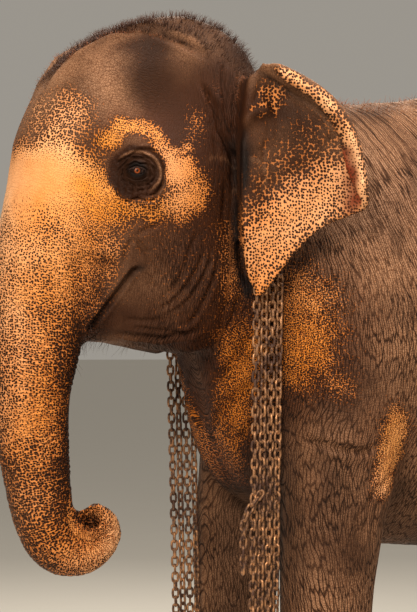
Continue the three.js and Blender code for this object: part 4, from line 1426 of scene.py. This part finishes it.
    def relief(self, points: np.ndarray, normals: np.ndarray) -> np.ndarray:
        """The middle-sized forms of the hide: folds, swells, slack hide and the rings of the trunk.

        Args:
            points: the skin's points.
            normals: its outward directions.

        Returns:
            How far each point moves outwards.
        """
        left = mirrored(points)
        x, y, z = points.T
        facing = EAR_AHEAD[0] * normals[:, 0] - EAR_AHEAD[1] * normals[:, 1] * np.sign(y)
        move = np.zeros(len(points))
        for fold in (Fold(EAR_GAP, 30, 15, 0.0, 0.12), *FACE_FOLDS, *EAR_FOLDS, *BODY_FOLDS):
            found, press = fold.press(left, facing)
            move[found] += press
        for swell in SWELLS:
            move += swell.press(left)
        run, belong, front, _ = self.trunk.read(points)
        around = y / 0.12
        crowd = 1 + 0.12 * ripple(run * 3, 5)
        ring = ripple(run * crowd / 0.024 + 0.25 * ripple(around * 0.7, 3), 11)
        low = soft_step(0.25, 0.7, run)
        strength = 0.0003 + 0.0009 * low + 0.0012 * soft_step(0.2, -0.8, front) * low
        move += belong * strength * np.clip(ring, -1.6, 1.0)
        # slack hide over the body, in soft waves along its grain
        across, along = self.grain.read(points)
        slack = ripple(across / 0.046 + 0.35 * ripple(along / 0.21, 8), 14)
        loose = soft_step(-0.8, 0.9, cloud_at(points, 0.45, 6)) * self.plain(points)
        move += 0.0008 * loose * np.clip(slack, -1.7, 0.9) * soft_step(-0.72, -0.62, x)
        # the knees and wrists, where the hide gathers in rings
        legs = soft_step(1.0, 0.85, z) * soft_step(0.10, 0.2, z)
        gather = bell((z - 0.46) / 0.16) + 0.7 * bell((z - 0.2) / 0.05)
        bend = 0.15 * np.sin(x * 14) + 0.1 * np.sin(y * 17)
        move += 0.0022 * legs * gather * np.clip(ripple((z + 0.05 * bend) / 0.034, 21), -1.5, 0.9)
        return move

    def on_ears(self, points: np.ndarray) -> np.ndarray:
        """Which points lie on the ears.

        Args:
            points: one row each.

        Returns:
            1 for a point of an ear and 0 for any other.
        """
        found = np.zeros(len(points))
        for side in Side:
            tree = tree_of(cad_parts[side.node("ear")])
            low, high = (np.array(corner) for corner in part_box(side.node("ear")))
            near = np.all((points > low - 0.03) & (points < high + 0.03), axis=1)
            for i in np.flatnonzero(near & (np.abs(points[:, 1]) > 0.32)):
                found[i] = tree.find_nearest(Vector(points[i]), 0.036)[0] is not None
        return found

    def plain(self, points: np.ndarray) -> np.ndarray:
        """How much each point belongs to the body and not to the head or the ears, from 0 to 1."""
        head = soft_step(-0.70, -0.86, points[:, 0]) * (points[:, 2] > 1.3)
        return (1 - head) * (1 - self.on_ears(points))

    def colours(self, skin: Piece) -> None:
        """Stores on the skin where it is pale, dark or warm, where painted shade and painted highlight lie,
        and how its cracks run.

        Args:
            skin: the finished skin.
        """
        points, normals = points_of(skin), normals_of(skin)
        left = mirrored(points)
        x, y, z = points.T
        rough = left + 0.005 * np.stack([cloud_at(points, 0.09, k) for k in range(3)], 1)
        run, belong, front, turned = self.trunk.read(points)

        def gathered(patches: Sequence[Patch], start: np.ndarray) -> np.ndarray:
            """Lays patches over each other like paint."""
            bare = 1 - start
            for patch in patches:
                bare = bare * (1 - patch.cover(rough))
            return 1 - bare

        ears = self.on_ears(points)
        # painted shade on the rear of the trunk, away from the light: less pale and darker
        trunk_rear_shade = belong * soft_step(0.15, 0.6, run) * soft_step(0.35, -0.8, front)
        pale = gathered(PALE_PATCHES, np.full(len(points), 0.004)) * (1 - 0.45 * trunk_rear_shade)
        lighter = (1 - pale) * 0.38 * belong * soft_step(0.35, 0.85, front) * soft_step(0.95, 0.45, run)
        pale = pale + lighter * (z < 2.1)
        behind = soft_step(0.0, 0.5, normals[:, 0]) * (np.abs(y) > 0.36) * (x < -0.45)
        pale = pale * (1 - 0.5 * behind * (z > 1.7))
        high = np.maximum(soft_step(2.15, 2.45, z), soft_step(-0.60, -0.40, x) * soft_step(0.9, 1.3, z))
        dusk = gathered(DARK_AND_SHADE_PATCHES, 0.40 - 0.18 * high) + 0.4 * trunk_rear_shade
        # painted shade in the hollow of the crown behind the brow's dome
        dome_hollow_shade = soft_step(-0.004, 0.012, behind_dome(points)) * soft_step(2.30, 2.38, z)
        dusk = np.maximum(dusk, 0.85 * dome_hollow_shade * soft_step(-0.55, -0.75, x))
        blush = gathered(BLUSH_PATCHES, np.zeros(len(points)))
        warm = gathered(WARM_PATCHES, np.full(len(points), 0.15))
        # painted shade in the hollow of the trunk's tip
        tip = np.array(self.trunk.tip_at) - 0.034 * np.array(self.trunk.tip_way)
        soot = 0.9 * bell(np.linalg.norm(points - tip, axis=1) / 0.024, 4)
        for side in Side:
            middle, back, up, _ = eye_frame(side)
            u, v = (points - middle) @ back, (points - middle) @ up
            turn = np.arctan2(v, u)
            oval = np.hypot(u / 0.080, (v + 0.002) / 0.076) * (1 + 0.05 * ripple(turn / 0.8, 3))
            oval = oval + 10 * (y * side.value < 0)
            # the socket is dark skin and painted shade
            socket = soft_step(1.20, 0.88, oval)
            pale = pale * (1 - 0.96 * socket)
            dusk = np.maximum(dusk, 0.95 * soft_step(1.25, 0.95, oval))
            # painted highlight on the lit rims of the socket's folds, and painted shade, deeper below and
            # ahead of the eye
            lit = bell((np.hypot(u / 0.068, (v + 0.003) / 0.060) - 1) / 0.06)
            lit = lit * soft_step(-0.035, 0.02, u + v)
            dusk = dusk - 0.50 * lit
            shade = 0.20 + 0.20 * soft_step(0.01, -0.03, v) + 0.25 * soft_step(0.03, -0.05, u)
            soot += socket * shade * (1 - 0.9 * lit)
            # painted shade round the eye's opening
            soot += 0.85 * bell(np.hypot(u / 0.030, (v - 0.004) / 0.024), 6) * (oval < 2)
        # painted shade in the line of the mouth, in the gap and the slit between head and ear, in the groove
        # inside the ear's rim and along the ear's front edge
        soot += 0.8 * bell(away_from(MOUTH, left) / 0.012)
        soot += 0.9 * bell(away_from(EAR_GAP, left) / 0.024) * (left[:, 1] > -0.32)
        soot += 0.95 * bell(away_from(EAR_SLIT, left) / 0.024) * (left[:, 1] > -0.367)
        groove = bell(away_from(EAR_GROOVE, left) / 0.009)
        soot += ears * (0.75 * groove + 0.8 * bell(away_from(EAR_FRONT, left) / 0.020))
        shaded = 0.45 * bell((x + 0.718) / 0.047, 4) * soft_step(0.80, 0.95, z)
        soot += shaded * (z < 2.3) * (1 - ears)
        # painted shade on the inner sides of the legs
        inner_side_shade = soft_step(0.2, -0.7, normals[:, 1] * np.sign(y)) * soft_step(1.35, 1.15, z)
        soot += 0.45 * inner_side_shade * soft_step(0.05, 0.12, np.abs(y))
        # painted shade on surfaces that face down
        soot += 0.40 * soft_step(-0.25, -0.85, normals[:, 2]) * (z > 0.9) * (x > -0.65)
        across, along = self.grain.read(points)
        foot = soft_step(0.62, 0.42, z)
        cheek = soft_step(-1.14, -1.00, x) * soft_step(1.98, 1.88, z)
        temple = soft_step(-0.98, -0.86, x) * soft_step(1.86, 1.98, z) * soft_step(2.50, 2.38, z)
        head = soft_step(-0.70, -0.86, x) * (z > 1.3)
        face = 0.15 + 0.85 * np.maximum(cheek, 0.75 * temple)
        cut = (face * head + (1 - head) * (1 - 0.4 * foot)) * (1 - ears) + 0.22 * ears
        rings = belong * (0.22 + 0.78 * soft_step(0.2, 0.85, run)) * (1 - 0.45 * soft_step(-0.4, 0.8, front))
        stored = {
            Spot.PALE: np.clip(pale, 0, 1), Spot.DUSK: np.clip(dusk, 0, 1), Spot.WARM: np.clip(warm, 0, 1),
            Spot.RUN: run, Spot.TURN: turned, Spot.RINGS: np.clip(rings, 0, 1),
            Spot.TRUNK: belong * soft_step(1.42, 1.30, run), Spot.GRAIN: across, Spot.CROSS: along,
            Spot.BLUSH: np.clip(blush, 0, 1), Spot.CUT: np.clip(cut * (1 - belong), 0, 1),
            Spot.SOOT: np.clip(soot, 0, 0.95), Spot.FINE: 1 + (1 - ears) * np.where(x < -0.84, 0.45, 0.75),
        }
        for spot, values in stored.items():
            write_values(skin, spot.value, values)

    def build(self) -> Piece:
        """Makes the skin and dresses it.

        Returns:
            The skin.
        """
        body = self.rough_part("body_part", self.body_nodes, self.body_voxel)
        apply_modifier(body, "SUBSURF", levels=1, render_levels=1)
        head = self.rough_part("head_part", self.head_nodes, self.head_voxel,
                               [self.tip_plug(), self.lip_corner(Side.LEFT), self.lip_corner(Side.RIGHT)])
        log.info("forms: body %d faces, head %d faces", len(body.data.polygons), len(head.data.polygons))
        skin = joined("skin", [body, head, self.ear(Side.LEFT), self.ear(Side.RIGHT)])
        apply_modifier(skin, "REMESH", mode="VOXEL", voxel_size=self.last_voxel * 1)
        self.keep_outside(skin)
        apply_modifier(skin, "SMOOTH", factor=0.5, iterations=5)
        eyes = [eye_middle(side) for side in Side]
        tip = Vector(self.trunk.tip_at)
        self.finer(skin, [(eye, 0.12) for eye in eyes] + [(tip, 0.085)])
        self.finer(skin, [(eye, 0.055) for eye in eyes] + [(tip, 0.060)])
        log.info("skin before folds: %d faces", len(skin.data.polygons))
        points = points_of(skin)
        for side in Side:
            points = self.lids(points, side)
        move_points(skin, self.carve_tip(points))
        points, normals = points_of(skin), normals_of(skin)
        points = points + normals * self.relief(points, normals)[:, None]
        low = points[:, 2].min()
        points[:, 2] -= low * soft_step(0.12, 0.0, points[:, 2])
        points[:, 2] = np.maximum(points[:, 2], 0.0)
        move_points(skin, points)
        self.thin(skin)
        skin.data.materials.clear()
        smooth_all(skin)
        self.colours(skin)
        skin.data.materials.append(ElephantHide().build())
        flesh = set(self.body_nodes) | set(self.head_nodes) | {"ear_left", "ear_right"}
        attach(skin, "root")
        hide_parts(*sorted(n for n in flesh if not n.startswith("eye_")))
        log.info("skin: %d faces", len(skin.data.polygons))
        return skin

    def thin(self, skin: Piece) -> None:
        """Takes out faces where the hide is plain, more of them behind the ears than before them.

        Args:
            skin: the skin, with its folds.
        """
        with editing(skin):
            bpy.ops.mesh.quads_convert_to_tris()

        def zones() -> dict[str, np.ndarray]:
            """Sorts the points into those by the eyes or the tip, those ahead of the shoulder and the rest.

            Returns:
                For each kind whether a point belongs to it.
            """
            points = points_of(skin)
            fine = np.zeros(len(points), bool)
            for middle in (self.trunk.tip_at, *[eye_middle(side) for side in Side]):
                fine |= np.linalg.norm(points - np.array(middle), axis=1) < self.fine_reach
            ahead = (points[:, 0] < -0.45) & (points[:, 2] > 0.9) & ~fine
            return {"fine": fine, "ahead": ahead, "rest": ~fine & ~ahead}

        kept = {name: int(chosen.sum()) for name, chosen in zones().items()}
        shares = {"rest": (self.face_limit * 0.40 / 2) / kept["rest"],
                  "ahead": min(1.0, (self.face_limit * 0.60 / 2 - kept["fine"]) / kept["ahead"])}
        log.info("thinning %s to the shares %s", kept, shares)
        for name, share in shares.items():
            with editing(skin, zones()[name]):
                bpy.ops.mesh.decimate(ratio=share)


@dataclass
class Eyeball:
    """One wet eyeball, with the bulge of its cornea, looking out to the side and a little forward."""

    side: Side
    radius: float = 0.0245
    cornea: float = 0.0016

    def build(self) -> Piece:
        """Makes and dresses the eyeball.

        Returns:
            The eyeball.
        """
        middle = eye_middle(self.side)
        ball = formed(bpy.ops.mesh.primitive_uv_sphere_add, segments=64, ring_count=40, radius=self.radius,
                      location=middle)
        ball.name = self.side.node("eyeball")
        points = points_of(ball)
        look = unit(np.array([-0.36, self.side.value * 0.93, 0.03]))
        local = points - np.array(middle)
        ahead = local @ look / self.radius
        angle = np.arccos(np.clip(ahead, -1, 1))
        points += local / self.radius * (self.cornea * soft_step(0.62, 0.25, angle))[:, None]
        move_points(ball, points)
        across = np.cross(UP, look)
        write_values(ball, "from_pupil", angle)
        write_values(ball, "round_pupil", np.arctan2(local @ UP, local @ across))
        smooth_all(ball)
        ball.data.materials.append(WetEye().build())
        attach(ball, "root")
        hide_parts(self.side.node("eye"))
        return ball


@dataclass
class Toenails:
    """The eighteen toenails, each a worn plate of horn let into the front of its foot."""

    thick: float = 0.017

    def one(self, node: str) -> Piece:
        """One nail, in the place of its solid.

        Args:
            node: the nail's solid.

        Returns:
            The nail.
        """
        low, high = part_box(node)
        foot_low, foot_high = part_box(node[: node.index("_nail")])
        middle, foot = (low + high) / 2, (foot_low + foot_high) / 2
        out = Vector((middle.x - foot.x, middle.y - foot.y, 0)).normalized()
        tall = (high.z - low.z) / 2
        turn = math.atan2(out.y, out.x)
        spread = Vector((high.x - low.x, high.y - low.y, 0)) / 2
        wide = max(spread.x * abs(out.y), spread.y * abs(out.x)) * 1.04
        nail = formed(bpy.ops.mesh.primitive_uv_sphere_add, segments=24, ring_count=14, radius=1.0,
                      location=middle, rotation=(0, 0, turn), scale=(self.thick, wide, tall))
        with editing(nail):
            bpy.ops.mesh.bisect(plane_co=(middle.x, middle.y, middle.z - 0.62 * tall), plane_no=(0, 0, 1),
                                use_fill=True, clear_inner=True)
        apply_modifier(nail, "BEVEL", width=0.004, segments=3, limit_method="ANGLE",
                       angle_limit=math.radians(40))
        return nail

    def build(self) -> Piece:
        """Makes and dresses all the nails.

        Returns:
            The nails, joined.
        """
        nodes = [n for n in NODES if "_nail_" in n]
        nails = joined("toenails", [self.one(node) for node in nodes])
        smooth_all(nails)
        nails.data.materials.append(Keratin().build())
        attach(nails, "root")
        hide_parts(*nodes)
        return nails


@dataclass
class Chains:
    """Two long loops of rusty welded chain, laid over the neck and hanging down on both sides."""

    wire: float = 0.0080
    link_length: float = 0.0394
    link_width: float = 0.0262
    pitch: float = 0.0254
    strands: int = 4
    half_strand: float = 0.0105
    neck_top: float = 1.80
    neck_middle: float = 2.00

    def link(self) -> tuple[np.ndarray, np.ndarray]:
        """Models one link at the origin, long in Z and flat in Y.

        Returns:
            Its points and its faces.
        """
        bend = (self.link_width - self.wire) / 2
        piece = formed(bpy.ops.mesh.primitive_torus_add, major_segments=12, minor_segments=6,
                       major_radius=bend, minor_radius=self.wire / 2, rotation=(math.pi / 2, 0, 0))
        stretch = (self.link_length - self.link_width) / 2
        points = points_of(piece)
        half = points[:, 2] > 1e-5
        level = np.abs(points[:, 2]) <= 1e-5
        for chosen, shift in ((half, stretch), (~half & ~level, -stretch)):
            with editing(piece, chosen):
                bpy.ops.transform.translate(value=(0, 0, shift))
        shape = points_of(piece)
        faces = np.array([list(face.vertices) for face in piece.data.polygons])
        bpy.data.objects.remove(piece)
        return shape, faces

    def middle_line(self, node: str) -> np.ndarray:
        """The middle of a strand that lies over the neck, read from its solid's rings.

        Args:
            node: the strand's solid.

        Returns:
            Points along its middle, from left to right.
        """
        corners = np.unique(np.round(points_of(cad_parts[node]), 5), axis=0)
        angle = np.arctan2(corners[:, 1], corners[:, 2] - self.neck_middle)
        corners, angle = corners[np.argsort(angle)], np.sort(angle)
        stations = np.linspace(angle[0], angle[-1], 46)
        line = []
        for at in stations:
            weight = bell((angle - at) / 0.075)
            line.append((corners * weight[:, None]).sum(0) / weight.sum())
        return np.array(line)

    def along(self, path: np.ndarray, seed: int, outward: np.ndarray | None = None) -> np.ndarray:
        """Places links along a path, each turned a quarter against the last.

        Args:
            path: points along the strand.
            seed: which random turns.
            outward: for each point, the way out of the hide, or None where the strand hangs.

        Returns:
            One 3 by 4 matrix for each link.
        """
        rng = np.random.default_rng(seed)
        steps = np.linalg.norm(np.diff(path, axis=0), axis=1)
        run = np.concatenate([[0], np.cumsum(steps)])
        count = int(run[-1] // self.pitch) + 1
        at = np.arange(count) * self.pitch
        places = np.stack([np.interp(at, run, path[:, k]) for k in range(3)], 1)
        ways = unit(np.gradient(places, axis=0))
        if outward is None:
            outs = np.tile([0.0, 1.0, 0.0], (count, 1))
        else:
            outs = np.stack([np.interp(at, run, outward[:, k]) for k in range(3)], 1)
        matrices = np.zeros((count, 3, 4))
        for i in range(count):
            z = ways[i]
            x = unit(np.cross(outs[i], z))
            y = np.cross(z, x)
            spin = (i % 2) * math.pi / 2 + rng.normal(0, 0.16) + 0.25
            c, s = math.cos(spin), math.sin(spin)
            matrices[i, :, 0], matrices[i, :, 1] = c * x + s * y, c * y - s * x
            matrices[i, :, 2], matrices[i, :, 3] = z, places[i]
        return matrices

    def repeated(self, name: str, matrices: np.ndarray) -> Piece:
        """Copies the link to every place.

        Args:
            name: the piece's name.
            matrices: one 3 by 4 matrix for each link.

        Returns:
            The links in one mesh.
        """
        shape, faces = self.link()
        points = np.einsum("nij,pj->npi", matrices[:, :, :3], shape) + matrices[:, None, :, 3]
        numbers = faces[None] + (np.arange(len(matrices)) * len(shape))[:, None, None]
        piece = new_piece(name, points.reshape(-1, 3), numbers.reshape(-1, faces.shape[1]))
        smooth_all(piece)
        return piece

    def hanging(self, side: Side) -> list[np.ndarray]:
        """The hanging strands on one side, each down, round its turn and up again.

        Args:
            side: which side.

        Returns:
            The places of the links of each strand.
        """
        made = []
        for pair in (1, 2):
            low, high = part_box(f"{side.node('chain')}_{pair}")
            hang = side.value * (abs(low.y + high.y) / 2)
            first, last = self.strand_x(2 * (pair - 1)), self.strand_x(2 * pair - 1)
            drift = -0.020 if side is Side.LEFT else 0.032
            end = low.z + self.half_strand + 0.01
            turn = [(first + drift, hang, end + 0.02)]
            for k in range(1, 6):
                angle = math.pi * (1 + k / 6)
                turn.append((drift + (first + last) / 2 + 0.0125 * math.cos(angle), hang,
                             end + 0.02 + 0.02 * math.sin(angle)))
            turn.append((last + drift, hang, end + 0.02))
            path = np.array([(first, hang, self.neck_top), *turn, (last, hang, self.neck_top)])
            made.append(self.along(path, 10 * pair + side.value))
        return made

    def strand_x(self, number: int) -> float:
        """Where a strand hangs, from the solids' own spacing."""
        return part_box(f"chain_over_{number + 1}")[0].x + self.half_strand

    def build(self) -> list[Piece]:
        """Makes and dresses the chains.

        Returns:
            The strands over the neck, and those on each side.
        """
        finish = RustySteel().build()
        over = []
        for i in range(self.strands):
            path = self.middle_line(f"chain_over_{i + 1}")
            outward = path - np.array([0, 0, self.neck_middle])
            outward[:, 0] = 0
            over.append(self.along(path, i, unit(outward)))
        pieces = [self.repeated("chain_over_neck", np.concatenate(over))]
        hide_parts(*[f"chain_over_{i + 1}" for i in range(self.strands)])
        for side in Side:
            places = self.hanging(side)
            if side is Side.LEFT:
                places.append(self.free_end())
            piece = self.repeated(side.node("chain_hanging"), np.concatenate(places))
            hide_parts(side.node("chain") + "_1", side.node("chain") + "_2")
            pieces.append(piece)
        for piece in pieces:
            piece.data.materials.append(finish)
            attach(piece, "root")
        return pieces

    def free_end(self) -> np.ndarray:
        """The free end, hooked into the first strand on the left.

        Returns:
            The places of its links.
        """
        low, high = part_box("chain_left_1")
        hang = (low.y + high.y) / 2 - 0.004
        x = self.strand_x(0) - 0.008
        path = np.array([(x + 0.012, hang - 0.004, 1.150), (x - 0.012, hang - 0.006, 1.125),
                         (x - 0.034, hang, 1.085), (x - 0.038, hang, 1.05), (x - 0.040, hang, 0.915)])
        return self.along(path, 77)


@dataclass(frozen=True)
class HairKind:
    """One kind of hair: how many, its seeds for places and bends, its sizes in metres and how it lies."""

    name: str
    count: int
    seeds: tuple[int, int]
    length: tuple[float, float]
    lean: Point
    tousled: float
    thick: float
    jitter: float = 0.006
    shorter: float = 0.0


@dataclass
class Hair:
    """Coarse hair on the crown and back, the brush of the tail, lashes and the bristles of the chin."""

    skin: Piece
    unwrap: tuple[BVHTree, np.ndarray] | None = None
    patch: float = 0.003

    def unwrapped(self) -> tuple[BVHTree, np.ndarray]:
        """Unwraps a plain copy of the skin, so that each hair can be given its root's place there.

        Returns:
            A tree of the copy's faces, and the place of each face on the unwrap.
        """
        if self.unwrap is None:
            copy = copied(self.skin)
            apply_modifier(copy, "REMESH", mode="VOXEL", voxel_size=0.05)
            with editing(copy):
                bpy.ops.uv.smart_project(angle_limit=math.radians(66), island_margin=0.004)
            uv, faces = copy.data.uv_layers.active.data, copy.data.polygons
            places = [np.mean([uv[i].uv[:] for i in face.loop_indices], axis=0) for face in faces]
            self.unwrap = (tree_of(copy), np.array(places))
            bpy.data.objects.remove(copy)
        return self.unwrap

    def grow(self, name: str, roots: np.ndarray, ways: np.ndarray, lengths: np.ndarray, thick: float,
             seed: int, curl: float = 0.35, flat: float = 1.0) -> Piece:
        """Grows tapered hairs, three sides each.

        Args:
            name: the piece's name.
            roots: where each hair starts.
            ways: which way it grows.
            lengths: how long it is.
            thick: its radius at the root.
            seed: which random bends.
            curl: how much it bends over its length.
            flat: how flat it is.

        Returns:
            The hairs in one mesh.
        """
        rng = np.random.default_rng(seed)
        count = len(roots)
        ways = unit(ways)
        across = unit(np.cross(ways, rng.normal(size=(count, 3))))
        over = np.cross(ways, across)
        bend = rng.normal(0, curl, (count, 1)) * across + np.array([0.0, 0.0, -0.5 * curl])
        rows = []
        for t in (-0.06, 0.35, 0.7):
            middle = roots + ways * (lengths * t)[:, None] + bend * (lengths * max(t, 0) ** 2)[:, None]
            radius = thick * (1 - 0.8 * max(t, 0))
            for k in range(3):
                angle = 2 * math.pi * k / 3
                rows.append(middle + radius * (math.cos(angle) * across + flat * math.sin(angle) * over))
        rows.append(roots + ways * lengths[:, None] + bend * lengths[:, None])
        points = np.stack(rows, 1)
        one = []
        for level in range(2):
            for k in range(3):
                a, b = 3 * level + k, 3 * level + (k + 1) % 3
                one += [(a, b, b + 3), (a, b + 3, a + 3)]
        one += [(6 + k, 6 + (k + 1) % 3, 9) for k in range(3)] + [(2, 1, 0)]
        faces = (np.array(one)[None] + (np.arange(count) * 10)[:, None, None]).reshape(-1, 3)
        piece = new_piece(name, points.reshape(-1, 3), faces)
        tree, places = self.unwrapped()
        centres = np.array([places[tree.find_nearest(Vector(root))[2]] for root in roots])
        square = np.array([(k % 3, k // 3) for k in range(10)]) / 3 - 0.5
        corner = centres[:, None, :] * (1 - 2 * self.patch) + self.patch + square[None] * self.patch
        layer = piece.data.uv_layers.new(name="OFBake")
        layer.data.foreach_set("uv", corner.reshape(-1, 2)[faces.ravel()].astype(np.float32).ravel())
        smooth_all(piece)
        return piece

    def dress(self, piece: Piece, finish: Material) -> Piece:
        """Gives a piece of hair its finish and its body."""
        piece.data.materials.append(finish)
        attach(piece, "root")
        return piece

    def build(self) -> list[Piece]:
        """Grows and dresses all the hair.

        Returns:
            Its pieces.
        """
        points, normals = points_of(self.skin), normals_of(self.skin)
        x, y, z = points.T
        rng = np.random.default_rng(4)
        dark, rusty = Bristle().build(), Bristle("rusty_back_hair", "#6b3a20", "#a0603a").build()
        over = behind_dome(points)
        top = (z > 2.28) * soft_step(-1.36, -1.28, x) * soft_step(-0.64, -0.78, x) * (normals[:, 2] > 0.15)
        spine = bell(y / 0.16) * soft_step(0.3, 0.8, normals[:, 2]) * (z > 1.9)
        under = (x < -1.0) & (z < 1.66) & (z > 1.5) & (np.abs(y) < 0.14)
        pieces = []
        for kind, share, finish in (
            (HairKind("crown_hair", 4600, (1, 1), (0.016, 0.032), (0.15, 0, 0.45), 0.22, 0.0008, 0.006, 0.3),
             soft_step(0.0, 0.02, over) * top, dark),
            (HairKind("brow_fuzz", 900, (5, 6), (0.007, 0.016), (0.1, 0, 0.3), 0.3, 0.0005),
             soft_step(0.01, -0.02, over) * top * (np.abs(y) < 0.29), rusty),
            (HairKind("back_hair", 1500, (2, 2), (0.012, 0.030), (0.4, 0, 0.1), 0.3, 0.0007, 0.01),
             spine * soft_step(-0.75, -0.6, x), rusty),
            (HairKind("chin_bristles", 90, (3, 3), (0.015, 0.045), (-0.4, 0, -0.3), 0.3, 0.0005),
             soft_step(-0.2, -0.8, normals[:, 2]) * under, dark),
        ):
            share, places = share + 1e-9, np.random.default_rng(kind.seeds[0])
            chosen = places.choice(len(share), kind.count, p=share / share.sum())
            lengths = rng.uniform(*kind.length, kind.count)
            lengths = lengths * (1 - kind.shorter * soft_step(-1.18, -1.30, x[chosen]))
            ways = normals[chosen] + np.array(kind.lean) + rng.normal(0, kind.tousled, (kind.count, 3))
            off = rng.normal(0, kind.jitter, (kind.count, 3)) * (1 - np.abs(normals[chosen]))
            hairs = self.grow(kind.name, points[chosen] + off, ways, lengths, kind.thick, kind.seeds[1])
            pieces.append(self.dress(hairs, finish))
        return [*pieces, self.tail_brush(dark), self.lashes(dark)]

    def tail_brush(self, finish: Material) -> Piece:
        """The bristles along the front and back edges of the tail's end.

        Args:
            finish: the hair's material.

        Returns:
            The brush.
        """
        low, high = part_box("tail_tuft")
        rng = np.random.default_rng(9)
        count = 620
        t = rng.uniform(0, 1, count) ** 1.3
        top, bottom = high.z, low.z + 0.20
        side = rng.choice([-1, 1], count)
        middle_x, middle_y = (low.x + high.x) / 2, (low.y + high.y) / 2
        roots = np.stack([
            middle_x + side * rng.uniform(0.002, 0.016, count), middle_y + rng.normal(0, 0.006, count),
            top + (bottom - top) * t,
        ], 1)
        leans = side * rng.uniform(0.02, 0.32, count)
        ways = np.stack([leans, rng.normal(0, 0.06, count), -np.ones(count)], 1)
        lengths = np.minimum(rng.uniform(0.10, 0.21, count), roots[:, 2] - low.z)
        brush = self.grow("tail_brush", roots, ways, lengths, 0.0016, 9, 0.06)
        points = points_of(brush)
        points[:, 0] = np.clip(points[:, 0], None, high.x + 0.004)
        move_points(brush, points)
        core = formed(bpy.ops.mesh.primitive_uv_sphere_add, segments=20, ring_count=16, radius=1.0,
                      scale=(0.02, 0.011, 0.105), location=(middle_x, middle_y, top - 0.075))
        core.data.uv_layers[0].name = "OFBake"
        brush = joined("tail_brush", [brush, core])
        self.dress(brush, finish)
        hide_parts("tail_tuft")
        return brush

    def lashes(self, finish: Material) -> Piece:
        """Long lashes along both upper lids.

        Args:
            finish: the hair's material.

        Returns:
            The lashes.
        """
        rng = np.random.default_rng(12)
        roots, ways = [], []
        for side in Side:
            middle, _, _, out = eye_frame(side)
            back = np.array([0.906, side.value * 0.42, 0.0])
            for t in np.linspace(-0.85, 0.85, 26):
                u, v = 0.021 * t, 0.0108 * math.sqrt(1 - t * t) + 0.001
                w = math.sqrt(max(0.0285**2 - u * u - v * v, 0))
                roots.append(middle + u * back + np.array([0, 0, v]) + w * out)
                ways.append(out * 0.8 + back * 0.5 * t + np.array([0, 0, -0.45]) + rng.normal(0, 0.12, 3))
        lengths = rng.uniform(0.014, 0.026, len(roots))
        piece = self.grow("eyelashes", np.array(roots), np.array(ways), lengths, 0.00045, 12, 0.15)
        return self.dress(piece, finish)


@dataclass
class Studio:
    """A pale floor, soft light and the camera, level and a little ahead of the animal's left shoulder."""

    from_eye: Vector = field(default_factory=lambda: Vector((-2.352, -5.528, -0.385)))
    heading: float = math.radians(25)
    lens: float = 82.353
    sensor: float = 24.0

    def camera(self) -> None:
        """Sets up the camera, measured from the left eye."""
        bpy.ops.object.select_all(action="DESELECT")
        bpy.ops.object.camera_add(location=eye_middle(Side.LEFT) + self.from_eye,
                                  rotation=(math.pi / 2, 0, -self.heading))
        camera = bpy.context.view_layer.objects.active
        camera.name = "studio_camera"
        camera.data.sensor_fit = "VERTICAL"
        camera.data.sensor_height = self.sensor
        camera.data.lens = self.lens
        bpy.context.scene.camera = camera

    def lamp(self, name: str, at: Point, towards: Point, size: float, power: float, tint: str) -> None:
        """Adds one soft square light.

        Args:
            name: the light's name.
            at: where it stands.
            towards: what it lights.
            size: the length of its side in metres.
            power: in watts.
            tint: its colour.
        """
        aim = Vector(towards) - Vector(at)
        bpy.ops.object.light_add(type="AREA", location=at, rotation=aim.to_track_quat("-Z", "Y").to_euler())
        lamp = bpy.context.view_layer.objects.active
        lamp.name = name
        lamp.data.shape = "SQUARE"
        lamp.data.size = size
        lamp.data.energy = power
        lamp.data.color = colour(tint)[:3]

    def build(self) -> None:
        """Makes the camera, the lights, the floor and the world's light."""
        self.camera()
        self.lamp("key_light", (-4.7, -4.4, 4.6), (-0.9, 0.0, 1.7), 2.4, 540, "#fff2df")
        self.lamp("top_light", (0.6, -1.6, 5.4), (0.0, -0.2, 1.8), 3.0, 260, "#fff4e6")
        self.lamp("rim_light", (1.5, 4.5, 4.8), (-0.6, 0.0, 1.9), 3.0, 150, "#fff4e4")
        bpy.ops.object.select_all(action="DESELECT")
        bpy.ops.mesh.primitive_circle_add(vertices=96, radius=60, fill_type="NGON", location=(0, 0, 0))
        floor = bpy.context.view_layer.objects.active
        floor.name = "studio_floor"
        floor.data.materials.append(PaleFloor().build())
        world = bpy.data.worlds.new("studio_light")
        bpy.context.scene.world = world
        world.use_nodes = True
        backdrop = world.node_tree.nodes["Background"]
        backdrop.inputs["Color"].default_value = colour("#f4ecdf")
        backdrop.inputs["Strength"].default_value = 0.36
        bpy.context.scene.view_settings.view_transform = "Standard"


def main() -> None:
    """Builds every part in order and logs the pieces and how many faces they have."""
    logging.basicConfig(level=logging.INFO, format="%(name)s: %(message)s")
    Studio().build()
    skin = Skin().build()
    for side in Side:
        log.info("eye: %s", Eyeball(side).build().name)
    log.info("nails: %s", Toenails().build().name)
    for piece in Chains().build() + Hair(skin).build():
        log.info("%s: %d faces", piece.name, len(piece.data.polygons))


if __name__ == "__main__":
    main()
